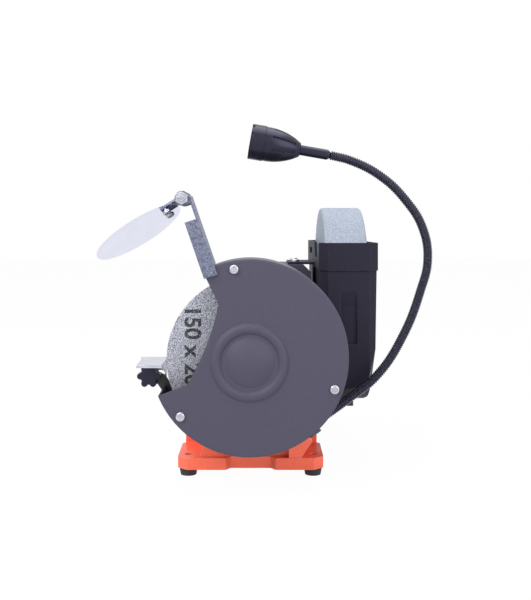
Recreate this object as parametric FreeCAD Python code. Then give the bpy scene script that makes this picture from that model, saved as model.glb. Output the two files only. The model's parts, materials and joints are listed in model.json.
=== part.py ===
import FreeCAD, Part
import math
import os

# Bench grinder with a fast dry stone and a slow wet stone, in millimetres.
# X runs along the motor shaft with the dry stone at the +X end, Y runs from the operator's side to the
# wet stone at the rear, and Z is up. The origin is on the bench, in the middle of the base's bolt pattern.

# Fits and clearances
seat_gap = 0.02
run_gap = 0.06
slide_gap = 0.2
loose_gap = 0.4

# Stones and the shaft that turns them
axis_z = 117.5
dry_dia = 150.0
dry_width = 20.0
dry_x = 109.0
arbor_dia = 12.7
shaft_dia = 15.0
wet_dia = 200.0
wet_width = 43.0
wet_x = -45.0
wet_y = 95.4
wet_recess_depth = 10.0
spindle_dia = 16.0
gear_centres = 40.0
wet_z = axis_z + gear_centres
recess_dia = 60.0
wet_flange_dia = 50.0
wet_flange_thick = 5.0
wet_nut_thick = 6.0

# Base
foot_dia = 18.0
foot_height = 8.0
bolt_spacing_x = 150.0
bolt_spacing_y = 119.0
bolt_hole_dia = 7.0
base_length = 182.0
base_width = 138.0
rim_height = 11.0
corner_chamfer = 9.0
pad_length = 58.0
waist_depth = 3.0
notch_width = 47.0
notch_depth = 6.6
notch_flare = 4.6
pedestal_length = 164.0
pedestal_width = 96.0
pedestal_top_length = 132.0
pedestal_top_width = 72.0
pedestal_top_z = 74.0
base_wall = 6.0
skirt_length = 60.0
skirt_rise = 8.0
skirt_top_y = 40.0
skirt_top_z = 60.0
base_plate_thick = 2.0
rim_z = foot_height + rim_height
plate_screw_dia = 4.0

# Motor and gear housing
motor_dia = 114.0
motor_wall = 5.0
motor_x0 = -8.0
motor_x1 = 88.0
fin_height = 3.0
fin_thick = 2.6
fin_count = 12
bell_thick = 7.0
bell_boss_dia = 90.0
bearing_dia = 32.0
bearing_width = 9.0
core_x0 = 16.0
core_length = 50.0
rotor_dia = 56.0
air_gap = 0.6
winding_length = 9.0
gear_box_length = 76.0
gear_box_front = 36.0
gear_box_rear = 62.5
gear_box_bottom = 62.0
gear_box_top = 197.0
gear_box_chamfer = 8.0
gear_wall = 6.0
gear_cover_thick = 6.0
bush_length = 12.0
bush_wall = 3.0
gear_x1 = motor_x0
gear_x0 = gear_x1 - gear_box_length
gear_screw_dia = 5.0
worm_length = 36.0
worm_rib_count = 6
wheel_teeth = 22
wheel_width = 18.0
tooth_depth = 3.0
seal_thick = 4.0
seal_dia = 30.0

# Dry stone guard
guard_dia = 173.8
guard_z = 121.5
guard_x0 = 101.0
guard_depth = 48.0
guard_sheet = 2.0
screw_circle = 158.0
screw_angles = (100.0, 220.0, 340.0)
dome_dia = 44.0
ring_inner_dia = 50.0
ring_outer_dia = 69.0
dome_height = 5.0
ring_height = 2.6
flange_dia = 55.0
flange_thick = 4.0
blotter_thick = 0.5
nut_thick = 8.0
guard_x1 = guard_x0 + guard_depth
guard_screw_dia = 5.0
guard_screw_size = 4.0
opening_top = (-41.5, 198.3)
opening_notch = (-27.2, 169.1)
opening_middle = (-37.2, 134.2)
opening_low = (-54.7, 98.5)
opening_corner = (-81.1, 88.0)

# Splash ring and water tank
tank_length = 217.0
tank_width = 58.0
tank_y = 95.65
tank_wall = 2.5
tank_corner = 8.5
tank_rim_z = 221.0
tank_joint_z = 193.7
tank_knee_z = 125.0
tank_floor_z = 79.0
tank_stone_gap = 4.0
tank_step = 1.2
tank_taper_y = 9.5
tank_taper_x = 40.0
tank_draft = 1.2
tank_lower_draft = 0.8
tank_keel_width = 4.0
tank_keel_height = 8.0
support_x0 = 40.0
support_length = 18.0
support_height = 17.5
support_seat_y = 52.0
support_end_y = 100.0
tank_x1 = 63.5
tank_x0 = tank_x1 - tank_length
ring_screw_dia = 4.0
recess_low_z = 122.0
recess_top_z = 174.0
recess_step_z = 159.0
recess_half = 8.0
recess_depth = 3.0
notch_x0 = -17.0
notch_x1 = 54.0
notch_z = 205.0
vent_x0 = -106.0
vent_x1 = -65.0
vent_z0 = 207.0
vent_z1 = 214.0
lip_thick = 2.5

# Eye shield on its bracket
bracket_foot_y = -31.0
bracket_foot_z = 203.5
bracket_lean = 19.1
bracket_length = 64.0
bracket_width = 30.0
bracket_sheet = 2.0
bracket_flange = 12.4
bracket_flange_top = 43.0
bracket_flange_drop = 9.0
pivot_along = 63.9
pivot_out = 7.5
pivot_bolt_dia = 6.0
ear_dia = 13.0
lens_length = 86.0
lens_width = 72.0
lens_thick = 3.0
lens_start = 7.0
lens_slope = 33.0
lens_twist = 13.0
lens_x = 130.0
bracket_screw_dia = 4.0
clip_reach = 22.0
clip_sheet = 2.0
clip_screw_dia = 4.0

# Tool rest
rest_x0 = 92.0
rest_length = 51.0
rest_y0 = -100.0
rest_y1 = -77.5
rest_top = 114.6
rest_sheet = 2.5
rest_tab_thick = 4.3
rest_travel = 10.0
rest_arm_thick = 4.3
rest_arm_width = 10.0
rest_arm_boss_dia = 16.0
rest_arm_foot_y = -62.0
rest_arm_foot_z = 64.0
rest_arm_elbow_y = -83.0
rest_arm_elbow_z = 95.0
knob_y = -93.0
knob_z = 99.6
knob_dia = 21.5
knob_length = 11.0
rest_bolt_dia = 6.0
arm_screw_dia = 5.0
knob_lobes = 6

# Gooseneck lamp
lamp_x = 80.0
socket_y = 61.7
socket_z = 50.2
socket_angle = 35.6
ball_dia = 12.0
neck_dia = 9.0
neck_bore = 5.0
rib_pitch = 2.2
rib_depth = 0.55
sleeve_dia = 9.8
sleeve_length = 26.0
lamp_angle = 10.0
lamp_dia = 33.8
lamp_length = 48.0
bezel_length = 13.5
lamp_wall = 2.0
slot_count = 8
groove_width = 2.4
groove_depth = 1.2
groove_start = 5.0
groove_end = 27.0
mouth_depth = 1.0
tip_ball_dia = 7.2
tip_pin_dia = 4.0
tip_gap = 3.0
sleeve_mouth = 0.8
bezel_teeth = 10
lamp_pivot_y = 72.6
lamp_pivot_z = 305.3
neck_bends = ((90.2, 70.7), (120.3, 95.0), (145.6, 133.8), (162.1, 176.6), (168.6, 203.9), (164.1, 234.9),
              (147.5, 262.2), (124.2, 284.6), (95.0, 299.8))

# Switch, cord gland and capacitor
switch_length = 30.0
switch_width = 22.0
switch_depth = 18.0
rocker_width = 14.0
rocker_angle = 9.0
gland_dia = 16.0
gland_bore = 8.0
capacitor_dia = 30.0
capacitor_length = 60.0
capacitor_y = 0.0

# Helpers
Vec = FreeCAD.Vector
x_way = Vec(1, 0, 0)
y_way = Vec(0, 1, 0)
z_way = Vec(0, 0, 1)


def block(x0, x1, y0, y1, z0, z1):
    return Part.makeBox(x1 - x0, y1 - y0, z1 - z0, Vec(x0, y0, z0))


def rod(dia, start, end):
    reach = end - start
    return Part.makeCylinder(dia / 2, reach.Length, start, reach)


def pipe(outer, inner, start, end):
    return rod(outer, start, end).cut(rod(inner, start, end))


def on_axis(x):
    return Vec(x, 0, axis_z)


def prism(points, reach):
    outline = Part.makePolygon(points + [points[0]])
    return Part.Face(outline).extrude(reach)


def hex_rod(across, start, end):
    reach = end - start
    turn = FreeCAD.Rotation(z_way, reach)
    radius = across / math.sqrt(3)
    corners = []
    for step in range(6):
        angle = math.radians(60 * step)
        corners.append(start + turn.multVec(Vec(radius * math.cos(angle), radius * math.sin(angle), 0)))
    return prism(corners, reach)


def turned(profile, origin, way, side, bends=None):
    # Turns a closed profile of (along, radius) points about a line; a bend is an arc's middle point.
    bends = bends or {}
    corners = [origin + way * along + side * radius for along, radius in profile]
    edges = []
    for index, corner in enumerate(corners):
        after = corners[(index + 1) % len(corners)]
        if index in bends:
            along, radius = bends[index]
            edges.append(Part.Arc(corner, origin + way * along + side * radius, after).toShape())
        else:
            edges.append(Part.LineSegment(corner, after).toShape())
    return Part.Face(Part.Wire(edges)).revolve(origin, way, 360)


def join(solids):
    return solids[0].fuse(list(solids[1:])).removeSplitter()


def screw(head_dia, head_height, shank_dia, shank_length, seat, way):
    # A pan head whose underside is at the seat; the shank goes on along the way.
    head = rod(head_dia, seat - way * head_height, seat)
    rim = head_height / 3
    head = head.makeFillet(rim, [edge for edge in head.Edges if far_edge(edge, seat, way, head_height)])
    slot = Part.makeBox(head_dia * 0.6, head_dia * 0.14, head_height * 0.5)
    slot.translate(Vec(-head_dia * 0.3, -head_dia * 0.07, 0))
    turn = FreeCAD.Rotation(z_way, way)
    recess = slot.fuse(slot.rotated(Vec(0, 0, 0), z_way, 90))
    recess.Placement = FreeCAD.Placement(seat - way * head_height, turn)
    return head.cut(recess).fuse(rod(shank_dia, seat, seat + way * shank_length)).removeSplitter()


def far_edge(edge, seat, way, distance):
    middle = edge.BoundBox.Center - seat
    return abs(middle.dot(way) + distance) < 0.01 and edge.Length > 1


def save(name, *solids):
    shape = solids[0] if len(solids) == 1 else Part.makeCompound(list(solids))
    shape.exportStep("parts/" + name + ".step")
    print(name, len(shape.Solids), round(shape.Volume), shape.isValid())


os.makedirs("parts", exist_ok=True)

# Base casting
rim_half_x = base_length / 2
rim_half_y = base_width / 2
pad_inner_x = rim_half_x - pad_length
skirt_y = rim_half_y - waist_depth
skirt_knee_z = rim_z + skirt_rise
skirt_fall = math.degrees(math.atan2(skirt_top_z - skirt_knee_z, skirt_y - skirt_top_y))
bolt_places = []
for x_sign in (-1, 1):
    for y_sign in (-1, 1):
        bolt_places.append((x_sign * bolt_spacing_x / 2, y_sign * bolt_spacing_y / 2))


def base_rim():
    quarter = [
        (rim_half_x - notch_depth, notch_width / 2 - notch_flare),
        (rim_half_x, notch_width / 2),
        (rim_half_x, rim_half_y - corner_chamfer),
        (rim_half_x - corner_chamfer, rim_half_y),
        (pad_inner_x, rim_half_y),
        (pad_inner_x - waist_depth, skirt_y),
    ]
    outline = quarter + [(-x, y) for x, y in reversed(quarter)]
    outline += [(-x, -y) for x, y in quarter] + [(x, -y) for x, y in reversed(quarter)]
    return prism([Vec(x, y, foot_height) for x, y in outline], z_way * rim_height)


def rectangle(length, width, z):
    x = length / 2
    y = width / 2
    corners = [Vec(x, y, z), Vec(-x, y, z), Vec(-x, -y, z), Vec(x, -y, z)]
    return Part.makePolygon(corners + [corners[0]])


def pedestal(inset, z0, z1):
    # The sloped block between the pads and the motor, or the hollow inside it.
    slope_x = (pedestal_length - pedestal_top_length) / (pedestal_top_z - rim_z)
    slope_y = (pedestal_width - pedestal_top_width) / (pedestal_top_z - rim_z)
    sections = []
    for z in sorted({z0, rim_z, z1}):
        rise = max(z - rim_z, 0)
        length = pedestal_length - slope_x * rise - 2 * inset
        width = pedestal_width - slope_y * rise - 2 * inset
        sections.append(rectangle(length, width, z))
    return Part.makeLoft(sections, True, True)


def skirt(y_sign):
    half = skirt_length / 2
    inner_y = pedestal_top_width / 2 - base_wall
    outline = [(inner_y, rim_z), (skirt_y, rim_z), (skirt_y, skirt_knee_z), (skirt_top_y, skirt_top_z),
               (inner_y, skirt_top_z)]
    return prism([Vec(-half, y_sign * y, z) for y, z in outline], x_way * skirt_length)


def switch_place():
    # Middle of the sloped front face, with its own Z pointing out of the face and its own X along the base.
    middle = Vec(0, -(skirt_y + skirt_top_y) / 2, (skirt_knee_z + skirt_top_z) / 2)
    return FreeCAD.Placement(middle, FreeCAD.Rotation(x_way, skirt_fall))


socket_way = Vec(0, math.cos(math.radians(socket_angle)), math.sin(math.radians(socket_angle)))
socket_up = Vec(0, -socket_way.z, socket_way.y)
socket_mouth = Vec(lamp_x, socket_y, socket_z)
socket_dia = ball_dia + 7
socket_length = ball_dia
socket_foot = socket_mouth - socket_way * socket_length


def lamp_boss():
    # A boss on the rear pad whose sloped face carries the gooseneck's socket.
    reach = socket_dia / 2 + 1
    low = socket_foot - socket_up * reach
    high = socket_foot + socket_up * reach
    inner_y = pedestal_top_width / 2
    outline = [(low.y, low.z), (high.y, high.z), (inner_y, high.z), (inner_y, rim_z), (low.y - reach, rim_z)]
    return prism([Vec(lamp_x - reach, y, z) for y, z in outline], x_way * 2 * reach)


def support_boss():
    low = tank_floor_z - support_height
    inner_y = pedestal_top_width / 2 - base_wall
    return block(support_x0, support_x0 + support_length, inner_y, support_seat_y, low, tank_floor_z)


roof_z = axis_z - motor_dia / 2 - base_wall - 2
plate_length = pedestal_length - 2 * base_wall
plate_width = pedestal_width - 2 * base_wall
plate_screw_places = []
for x_sign in (-1, 1):
    for y_sign in (-1, 1):
        plate_screw_places.append((x_sign * (plate_length / 2 - 7), y_sign * (plate_width / 2 - 7)))
plate_post_z = foot_height + base_plate_thick


def make_base():
    body = join([base_rim(), pedestal(0, rim_z, pedestal_top_z), skirt(-1), skirt(1), lamp_boss(),
                 support_boss()])
    body = body.cut(pedestal(base_wall, foot_height - 1, roof_z))
    saddle_dia = motor_dia + 2 * slide_gap
    body = body.cut(rod(saddle_dia, on_axis(gear_x1 - gear_wall - 1), on_axis(motor_x1 + bell_thick + 10)))
    body = body.cut(block(gear_x0 - 20, gear_x1, -base_width, base_width, gear_box_bottom, pedestal_top_z + 10))
    for x, y in bolt_places:
        body = body.cut(rod(bolt_hole_dia, Vec(x, y, 0), Vec(x, y, rim_z + 40)))
    pocket = block(-switch_length / 2 + 2, switch_length / 2 - 2, -switch_width / 2 + 2, switch_width / 2 - 2,
                   -switch_depth - 2, 5)
    pocket.Placement = switch_place()
    posts = []
    for x, y in plate_screw_places:
        post = rod(3 * plate_screw_dia, Vec(x, y, plate_post_z), Vec(x, y, rim_z + 12))
        posts.append(post.cut(rod(plate_screw_dia - 0.6, Vec(x, y, 0), Vec(x, y, rim_z))))
    body = body.cut(pocket)
    body = body.cut(rod(gland_bore + 4, gland_seat - x_way * base_wall, gland_seat + x_way * 3 * base_wall))
    return join([body] + posts)


gland_z = (rim_z + pedestal_top_z) / 2 - 6
gland_slope = (pedestal_length - pedestal_top_length) / 2 / (pedestal_top_z - rim_z)
gland_seat = Vec(-pedestal_length / 2 + gland_slope * (gland_z - rim_z), 0, gland_z)


def make_feet():
    feet = []
    for x, y in bolt_places:
        profile = [(0, bolt_hole_dia / 2), (0, foot_dia / 2 - 1.5), (foot_height, foot_dia / 2),
                   (foot_height, bolt_hole_dia / 2)]
        feet.append(turned(profile, Vec(x, y, 0), z_way, x_way))
    return feet


def make_base_plate():
    plate = block(-plate_length / 2 + loose_gap, plate_length / 2 - loose_gap, -plate_width / 2 + loose_gap,
                  plate_width / 2 - loose_gap, foot_height, plate_post_z)
    for x, y in plate_screw_places:
        plate = plate.cut(rod(plate_screw_dia + loose_gap, Vec(x, y, 0), Vec(x, y, rim_z)))
    return plate


def make_plate_screws():
    screws = []
    for x, y in plate_screw_places:
        seat = Vec(x, y, foot_height)
        screws.append(screw(2 * plate_screw_dia, 2.4, plate_screw_dia - 0.8, rim_height - 2, seat, z_way))
    return screws


# Motor
motor_bore = motor_dia - 2 * motor_wall
bell_x1 = motor_x1 + bell_thick
front_bearing_x = guard_x0 - 2 - bearing_width
rear_bearing_x = gear_x1 - gear_wall
far_bearing_x = gear_x0 - gear_cover_thick + 2
core_x1 = core_x0 + core_length


def make_motor_housing():
    shell = pipe(motor_dia, motor_bore, on_axis(motor_x0), on_axis(motor_x1))
    fins = []
    for index in range(fin_count):
        angle = 180 * (index + 0.5) / fin_count
        fin = block(motor_x0 + 8, motor_x1 - 8, -fin_thick / 2, fin_thick / 2, motor_dia / 2 - 1,
                    motor_dia / 2 + fin_height)
        fin.translate(Vec(0, 0, axis_z))
        fins.append(fin.rotated(on_axis(0), x_way, angle - 90))
    return join([shell] + fins)


def make_end_bell():
    bore = bearing_dia / 2 + seat_gap
    hole = shaft_dia / 2 + 1
    profile = [(motor_x1, bore), (motor_x1, motor_dia / 2), (bell_x1, motor_dia / 2), (bell_x1, bell_boss_dia / 2),
               (guard_x0, bell_boss_dia / 2), (guard_x0, hole), (front_bearing_x + bearing_width, hole),
               (front_bearing_x + bearing_width, bore)]
    bell = turned(profile, on_axis(0), x_way, z_way)
    for place in guard_screw_places:
        bell = bell.cut(rod(guard_screw_dia - 0.6, place + x_way * (bell_x1 - 4), place + x_way * (guard_x0 + 1)))
    return bell


guard_screw_circle = flange_dia + 4 * guard_screw_dia
guard_screw_places = []
for index in range(3):
    angle = math.radians(90 + 120 * index)
    radius = guard_screw_circle / 2
    guard_screw_places.append(Vec(0, radius * math.cos(angle), axis_z + radius * math.sin(angle)))


def make_stator_core():
    return pipe(motor_bore - 2 * seat_gap, rotor_dia + 2 * air_gap, on_axis(core_x0), on_axis(core_x1))


def make_windings():
    outer = motor_bore - 10
    inner = rotor_dia + 8
    ends = []
    for start, end in ((core_x0 - winding_length, core_x0), (core_x1, core_x1 + winding_length)):
        ends.append(pipe(outer, inner, on_axis(start), on_axis(end)))
    return ends


def make_rotor():
    return pipe(rotor_dia, shaft_dia + 2 * seat_gap, on_axis(core_x0), on_axis(core_x1))


def make_bearings():
    rings = []
    for start in (front_bearing_x, rear_bearing_x, far_bearing_x):
        bore = shaft_dia + 2 * run_gap
        rings.append(pipe(bearing_dia, bore, on_axis(start), on_axis(start + bearing_width)))
    return rings


# Gear housing and worm drive
def gear_outline(inset, x):
    rear = gear_box_rear - inset
    front = inset - gear_box_front
    low = gear_box_bottom + inset
    high = gear_box_top - inset
    cut = gear_box_chamfer
    outline = [(rear - cut, low), (rear, low + cut), (rear, high - cut), (rear - cut, high)]
    outline += [(front + cut, high), (front, high - cut), (front, low + cut), (front + cut, low)]
    return [Vec(x, y, z) for y, z in outline]


gear_screw_places = []
for y in (gear_box_chamfer - gear_box_front, gear_box_rear - gear_box_chamfer):
    for z in (gear_box_bottom + 2 * gear_box_chamfer, gear_box_top - 2 * gear_box_chamfer):
        gear_screw_places.append((y, z))
bush_dia = spindle_dia + 2 * bush_wall
bush_boss_dia = bush_dia + 10


def spindle_at(y):
    return Vec(wet_x, y, wet_z)


def make_gear_housing():
    body = prism(gear_outline(0, gear_x0), x_way * gear_box_length)
    cavity = prism(gear_outline(gear_wall, gear_x0 - 1), x_way * (gear_box_length - gear_wall + 1))
    body = body.cut(cavity)
    added = []
    bush_front = bush_length - gear_box_front
    bush_rear = gear_box_rear - bush_length
    added.append(rod(bush_boss_dia, spindle_at(-gear_box_front), spindle_at(bush_front)))
    added.append(rod(bush_boss_dia, spindle_at(bush_rear), spindle_at(gear_box_rear)))
    for y, z in gear_screw_places:
        added.append(rod(2.4 * gear_screw_dia, Vec(gear_x0, y, z), Vec(gear_x1 - gear_wall, y, z)))
    added.append(rod(bearing_dia + 8, on_axis(gear_x1 - gear_wall), on_axis(rear_bearing_x + bearing_width)))
    # A round flange closes the motor's end, and a spigot keeps the housing in line with it.
    added.append(rod(motor_dia, on_axis(gear_x1 - gear_wall), on_axis(gear_x1)))
    spigot_end = rear_bearing_x + bearing_width + 1
    added.append(rod(motor_bore - 2 * seat_gap, on_axis(gear_x1 - 1), on_axis(spigot_end)))
    body = join([body] + added)
    body = body.cut(rod(bearing_dia + 2 * seat_gap, on_axis(rear_bearing_x), on_axis(spigot_end + 1)))
    body = body.cut(rod(shaft_dia + 2, on_axis(gear_x0), on_axis(gear_x1)))
    body = body.cut(rod(bush_dia + 2 * seat_gap, spindle_at(bush_rear), spindle_at(gear_box_rear + 1)))
    bush_end = spindle_at(gear_wall / 2 - gear_box_front)
    body = body.cut(rod(bush_dia + 2 * seat_gap, bush_end, spindle_at(bush_front)))
    for y, z in gear_screw_places:
        body = body.cut(rod(gear_screw_dia - 0.6, Vec(gear_x0 - 1, y, z), Vec(gear_x0 + 18, y, z)))
    for x in ring_screw_places:
        body = body.cut(rod(ring_screw_dia - 0.6, Vec(x, ring_screw_y, gear_box_top - gear_wall),
                            Vec(x, ring_screw_y, gear_box_top + 1)))
    return body


ring_screw_y = gear_box_rear - 2 * gear_box_chamfer
ring_screw_places = (gear_x0 + 16, gear_x1 - 16)


def make_gear_cover():
    plate = prism(gear_outline(0, gear_x0 - gear_cover_thick), x_way * gear_cover_thick)
    boss = rod(bearing_dia + 8, on_axis(gear_x0 - 1), on_axis(far_bearing_x + bearing_width))
    plate = join([plate, boss])
    plate = plate.cut(rod(bearing_dia + 2 * seat_gap, on_axis(far_bearing_x), on_axis(gear_x0 + 20)))
    for y, z in gear_screw_places:
        plate = plate.cut(rod(gear_screw_dia + loose_gap, Vec(gear_x0 - 20, y, z), Vec(gear_x0 + 1, y, z)))
    return plate


def make_gear_cover_screws():
    screws = []
    for y, z in gear_screw_places:
        seat = Vec(gear_x0 - gear_cover_thick, y, z)
        screws.append(screw(2 * gear_screw_dia, 3.2, gear_screw_dia - 0.8, 16, seat, x_way))
    return screws


worm_dia = 2 * (gear_centres - 0.5) * 0.29
wheel_dia = 2 * (gear_centres - 0.5) - worm_dia


def make_worm():
    # The thread is drawn as ribs that run just clear of the wheel's teeth.
    start = wet_x - worm_length / 2
    pitch = worm_length / worm_rib_count
    inner = shaft_dia / 2 + seat_gap
    profile = [(start, inner)]
    for index in range(worm_rib_count):
        rib = start + index * pitch
        profile += [(rib, worm_dia / 2 - tooth_depth / 2), (rib + pitch * 0.3, worm_dia / 2),
                    (rib + pitch * 0.6, worm_dia / 2), (rib + pitch * 0.9, worm_dia / 2 - tooth_depth / 2)]
    profile += [(start + worm_length, worm_dia / 2 - tooth_depth / 2), (start + worm_length, inner)]
    return turned(profile, on_axis(0), x_way, z_way)


def make_worm_wheel():
    corners = []
    for tooth in range(wheel_teeth):
        for share, radius in ((0.0, wheel_dia / 2 - tooth_depth), (0.25, wheel_dia / 2 - tooth_depth),
                              (0.4, wheel_dia / 2), (0.8, wheel_dia / 2)):
            angle = 2 * math.pi * (tooth + share) / wheel_teeth
            rim = Vec(radius * math.cos(angle), 0, radius * math.sin(angle))
            corners.append(spindle_at(-wheel_width / 2) + rim)
    wheel = prism(corners, y_way * wheel_width)
    return wheel.cut(rod(spindle_dia + 2 * seat_gap, spindle_at(-wheel_width), spindle_at(wheel_width)))


def make_bushes():
    bushes = []
    for start, end in ((gear_wall / 2 - gear_box_front, bush_length - gear_box_front),
                       (gear_box_rear - bush_length, gear_box_rear)):
        bushes.append(pipe(bush_dia, spindle_dia + 2 * run_gap, spindle_at(start), spindle_at(end)))
    return bushes


def make_seal():
    return pipe(seal_dia, spindle_dia + 2 * run_gap, spindle_at(gear_box_rear),
                spindle_at(gear_box_rear + seal_thick))


# Shafts and stones
stone_x1 = dry_x + dry_width
flange_x0 = dry_x - blotter_thick - flange_thick
outer_flange_x = stone_x1 + blotter_thick
nut_x = outer_flange_x + flange_thick
arbor_end_x = nut_x + nut_thick + 3
wet_y0 = wet_y - wet_width / 2
wet_y1 = wet_y + wet_width / 2
hub_y0 = wet_y0 + wet_recess_depth
hub_y1 = wet_y1 - wet_recess_depth


def make_shaft():
    start = far_bearing_x + 1
    profile = [(start, 0), (start, shaft_dia / 2), (flange_x0, shaft_dia / 2), (flange_x0, arbor_dia / 2),
               (arbor_end_x - 1, arbor_dia / 2), (arbor_end_x, arbor_dia / 2 - 1), (arbor_end_x, 0)]
    return turned(profile, on_axis(0), x_way, z_way)


def make_spindle():
    start = gear_wall - gear_box_front
    end = hub_y1 + wet_flange_thick + wet_nut_thick + 1
    return rod(spindle_dia, spindle_at(start), spindle_at(end))


def make_wet_stone():
    edge = 2.5
    bore = spindle_dia / 2 + seat_gap
    radius = wet_dia / 2
    profile = [(hub_y0, bore), (hub_y0, recess_dia / 2), (wet_y0, recess_dia / 2), (wet_y0, radius - edge),
               (wet_y0 + edge, radius), (wet_y1 - edge, radius), (wet_y1, radius - edge), (wet_y1, recess_dia / 2),
               (hub_y1, recess_dia / 2), (hub_y1, bore)]
    return turned(profile, spindle_at(0), y_way, z_way)


def make_wet_flanges():
    bore = spindle_dia + 2 * seat_gap
    inner = pipe(wet_flange_dia, bore, spindle_at(hub_y0 - wet_flange_thick), spindle_at(hub_y0))
    outer = pipe(wet_flange_dia, bore, spindle_at(hub_y1), spindle_at(hub_y1 + wet_flange_thick))
    return [inner, outer]


def make_wet_nut():
    start = hub_y1 + wet_flange_thick
    nut = hex_rod(1.6 * spindle_dia, spindle_at(start), spindle_at(start + wet_nut_thick))
    return nut.cut(rod(spindle_dia + 2 * seat_gap, spindle_at(start - 1), spindle_at(start + wet_nut_thick + 1)))


def make_dry_stone():
    return pipe(dry_dia, arbor_dia + 2 * seat_gap, on_axis(dry_x), on_axis(stone_x1))


def make_blotters():
    bore = arbor_dia + 2 * seat_gap
    inner = pipe(flange_dia, bore, on_axis(dry_x - blotter_thick), on_axis(dry_x))
    outer = pipe(flange_dia, bore, on_axis(stone_x1), on_axis(outer_flange_x))
    return [inner, outer]


def dry_flange(start):
    return pipe(flange_dia, arbor_dia + 2 * seat_gap, on_axis(start), on_axis(start + flange_thick))


def make_dry_nut():
    nut = hex_rod(1.5 * arbor_dia, on_axis(nut_x), on_axis(nut_x + nut_thick))
    return nut.cut(rod(arbor_dia + 2 * seat_gap, on_axis(nut_x - 1), on_axis(nut_x + nut_thick + 1)))


# Dry stone guard
cover_x0 = guard_x1 - guard_sheet


def guard_at(x, radius, degrees):
    angle = math.radians(degrees)
    return Vec(x, radius * math.cos(angle), guard_z + radius * math.sin(angle))


def guard_opening(x0, x1):
    # The sector in front of the stone: an open corner, a curved inner edge and a straight lower edge.
    top = Vec(x0, *opening_top)
    notch = Vec(x0, *opening_notch)
    middle = Vec(x0, *opening_middle)
    low = Vec(x0, *opening_low)
    corner = Vec(x0, *opening_corner)
    outside_top = top + (top - notch)
    outside_low = corner + (corner - low)
    far_low = Vec(x0, -2 * guard_dia, outside_low.z)
    far_top = Vec(x0, -2 * guard_dia, outside_top.z)
    edges = [Part.makeLine(outside_top, notch), Part.Arc(notch, middle, low).toShape(),
             Part.makeLine(low, outside_low), Part.makeLine(outside_low, far_low),
             Part.makeLine(far_low, far_top), Part.makeLine(far_top, outside_top)]
    return Part.Face(Part.Wire(edges)).extrude(x_way * (x1 - x0))


def make_guard_shell():
    centre0 = Vec(guard_x0, 0, guard_z)
    inner = guard_dia - 2 * guard_sheet
    drum = rod(guard_dia, centre0, centre0 + x_way * (guard_depth - guard_sheet))
    drum = drum.cut(rod(inner, centre0 + x_way * guard_sheet, centre0 + x_way * guard_depth))
    boss_x = stone_x1 + 3
    bosses = []
    for angle in screw_angles:
        centre = guard_at(boss_x, screw_circle / 2, angle)
        reach = (inner - screw_circle) / 2 + guard_sheet / 2
        web = block(boss_x, cover_x0, 0, reach, -guard_screw_size, guard_screw_size)
        web.rotate(Vec(0, 0, 0), x_way, angle)
        web.translate(Vec(0, centre.y, centre.z))
        bosses += [rod(2 * guard_screw_size, centre, Vec(cover_x0, centre.y, centre.z)), web]
    shell = join([drum] + bosses)
    for angle in screw_angles:
        shell = shell.cut(rod(guard_screw_size - 0.6, guard_at(boss_x + 2, screw_circle / 2, angle),
                              guard_at(guard_x1, screw_circle / 2, angle)))
    for place in guard_screw_places:
        shell = shell.cut(rod(guard_screw_dia + loose_gap, place + x_way * bell_x1, place + x_way * dry_x))
    shell = shell.cut(rod(bearing_dia, on_axis(guard_x0 - 1), on_axis(guard_x0 + 5)))
    return shell.cut(guard_opening(guard_x0 - 1, guard_x1))


def make_guard_cover():
    centre = Vec(cover_x0, 0, guard_z)
    plate = rod(guard_dia, centre, centre + x_way * guard_sheet)
    front = [edge for edge in plate.Edges if edge.BoundBox.XMin > guard_x1 - 0.01]
    plate = plate.makeFillet(guard_sheet * 0.8, front)
    face = guard_x1 - cover_x0
    ring_mid = (ring_inner_dia + ring_outer_dia) / 4
    profile = [(0, 0), (face + dome_height, 0), (face, dome_dia / 2), (face, ring_inner_dia / 2),
               (face, ring_outer_dia / 2), (0, ring_outer_dia / 2)]
    bends = {1: (face + dome_height * 0.76, dome_dia / 4), 3: (face + ring_height, ring_mid)}
    emboss = turned(profile, on_axis(cover_x0), x_way, z_way, bends)
    hollow_dia = dome_dia - 2 * guard_sheet
    plate = plate.fuse(emboss).removeSplitter()
    plate = plate.cut(rod(hollow_dia, on_axis(cover_x0 - 1), on_axis(cover_x0 + guard_sheet * 0.6)))
    for angle in screw_angles:
        place = guard_at(cover_x0 - 1, screw_circle / 2, angle)
        plate = plate.cut(rod(guard_screw_size + loose_gap, place, place + x_way * 10))
    plate = plate.cut(rod(bracket_screw_dia, bracket_screw - x_way * 10, bracket_screw))
    return plate.cut(guard_opening(cover_x0 - 1, guard_x1 + 10))


def make_cover_screws():
    screws = []
    for angle in screw_angles:
        seat = guard_at(guard_x1, screw_circle / 2, angle)
        screws.append(screw(2 * guard_screw_size, 2.6, guard_screw_size - 0.8, 12, seat, x_way * -1))
    return screws


def make_guard_mount_screws():
    screws = []
    for place in guard_screw_places:
        seat = place + x_way * (guard_x0 + guard_sheet)
        screws.append(screw(2 * guard_screw_dia, 3.0, guard_screw_dia - 0.8, 7.5, seat, x_way * -1))
    return screws


# Splash ring and water tank
tank_x_mid = (tank_x0 + tank_x1) / 2
tank_bottom_dia = wet_dia + 2 * tank_stone_gap + 2 * tank_wall + 2 * tank_step


def plan_outline(inset, z):
    # Eight-cornered outline of the ring and of the tank's top.
    half_x = tank_length / 2 - inset
    half_y = tank_width / 2 - inset
    cut = tank_corner - 0.59 * inset
    quarter = [(half_x, half_y - cut), (half_x - cut, half_y)]
    outline = quarter + [(-x, y) for x, y in reversed(quarter)]
    outline += [(-x, -y) for x, y in quarter] + [(x, -y) for x, y in reversed(quarter)]
    return [Vec(tank_x_mid + x, tank_y + y, z) for x, y in outline]


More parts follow.
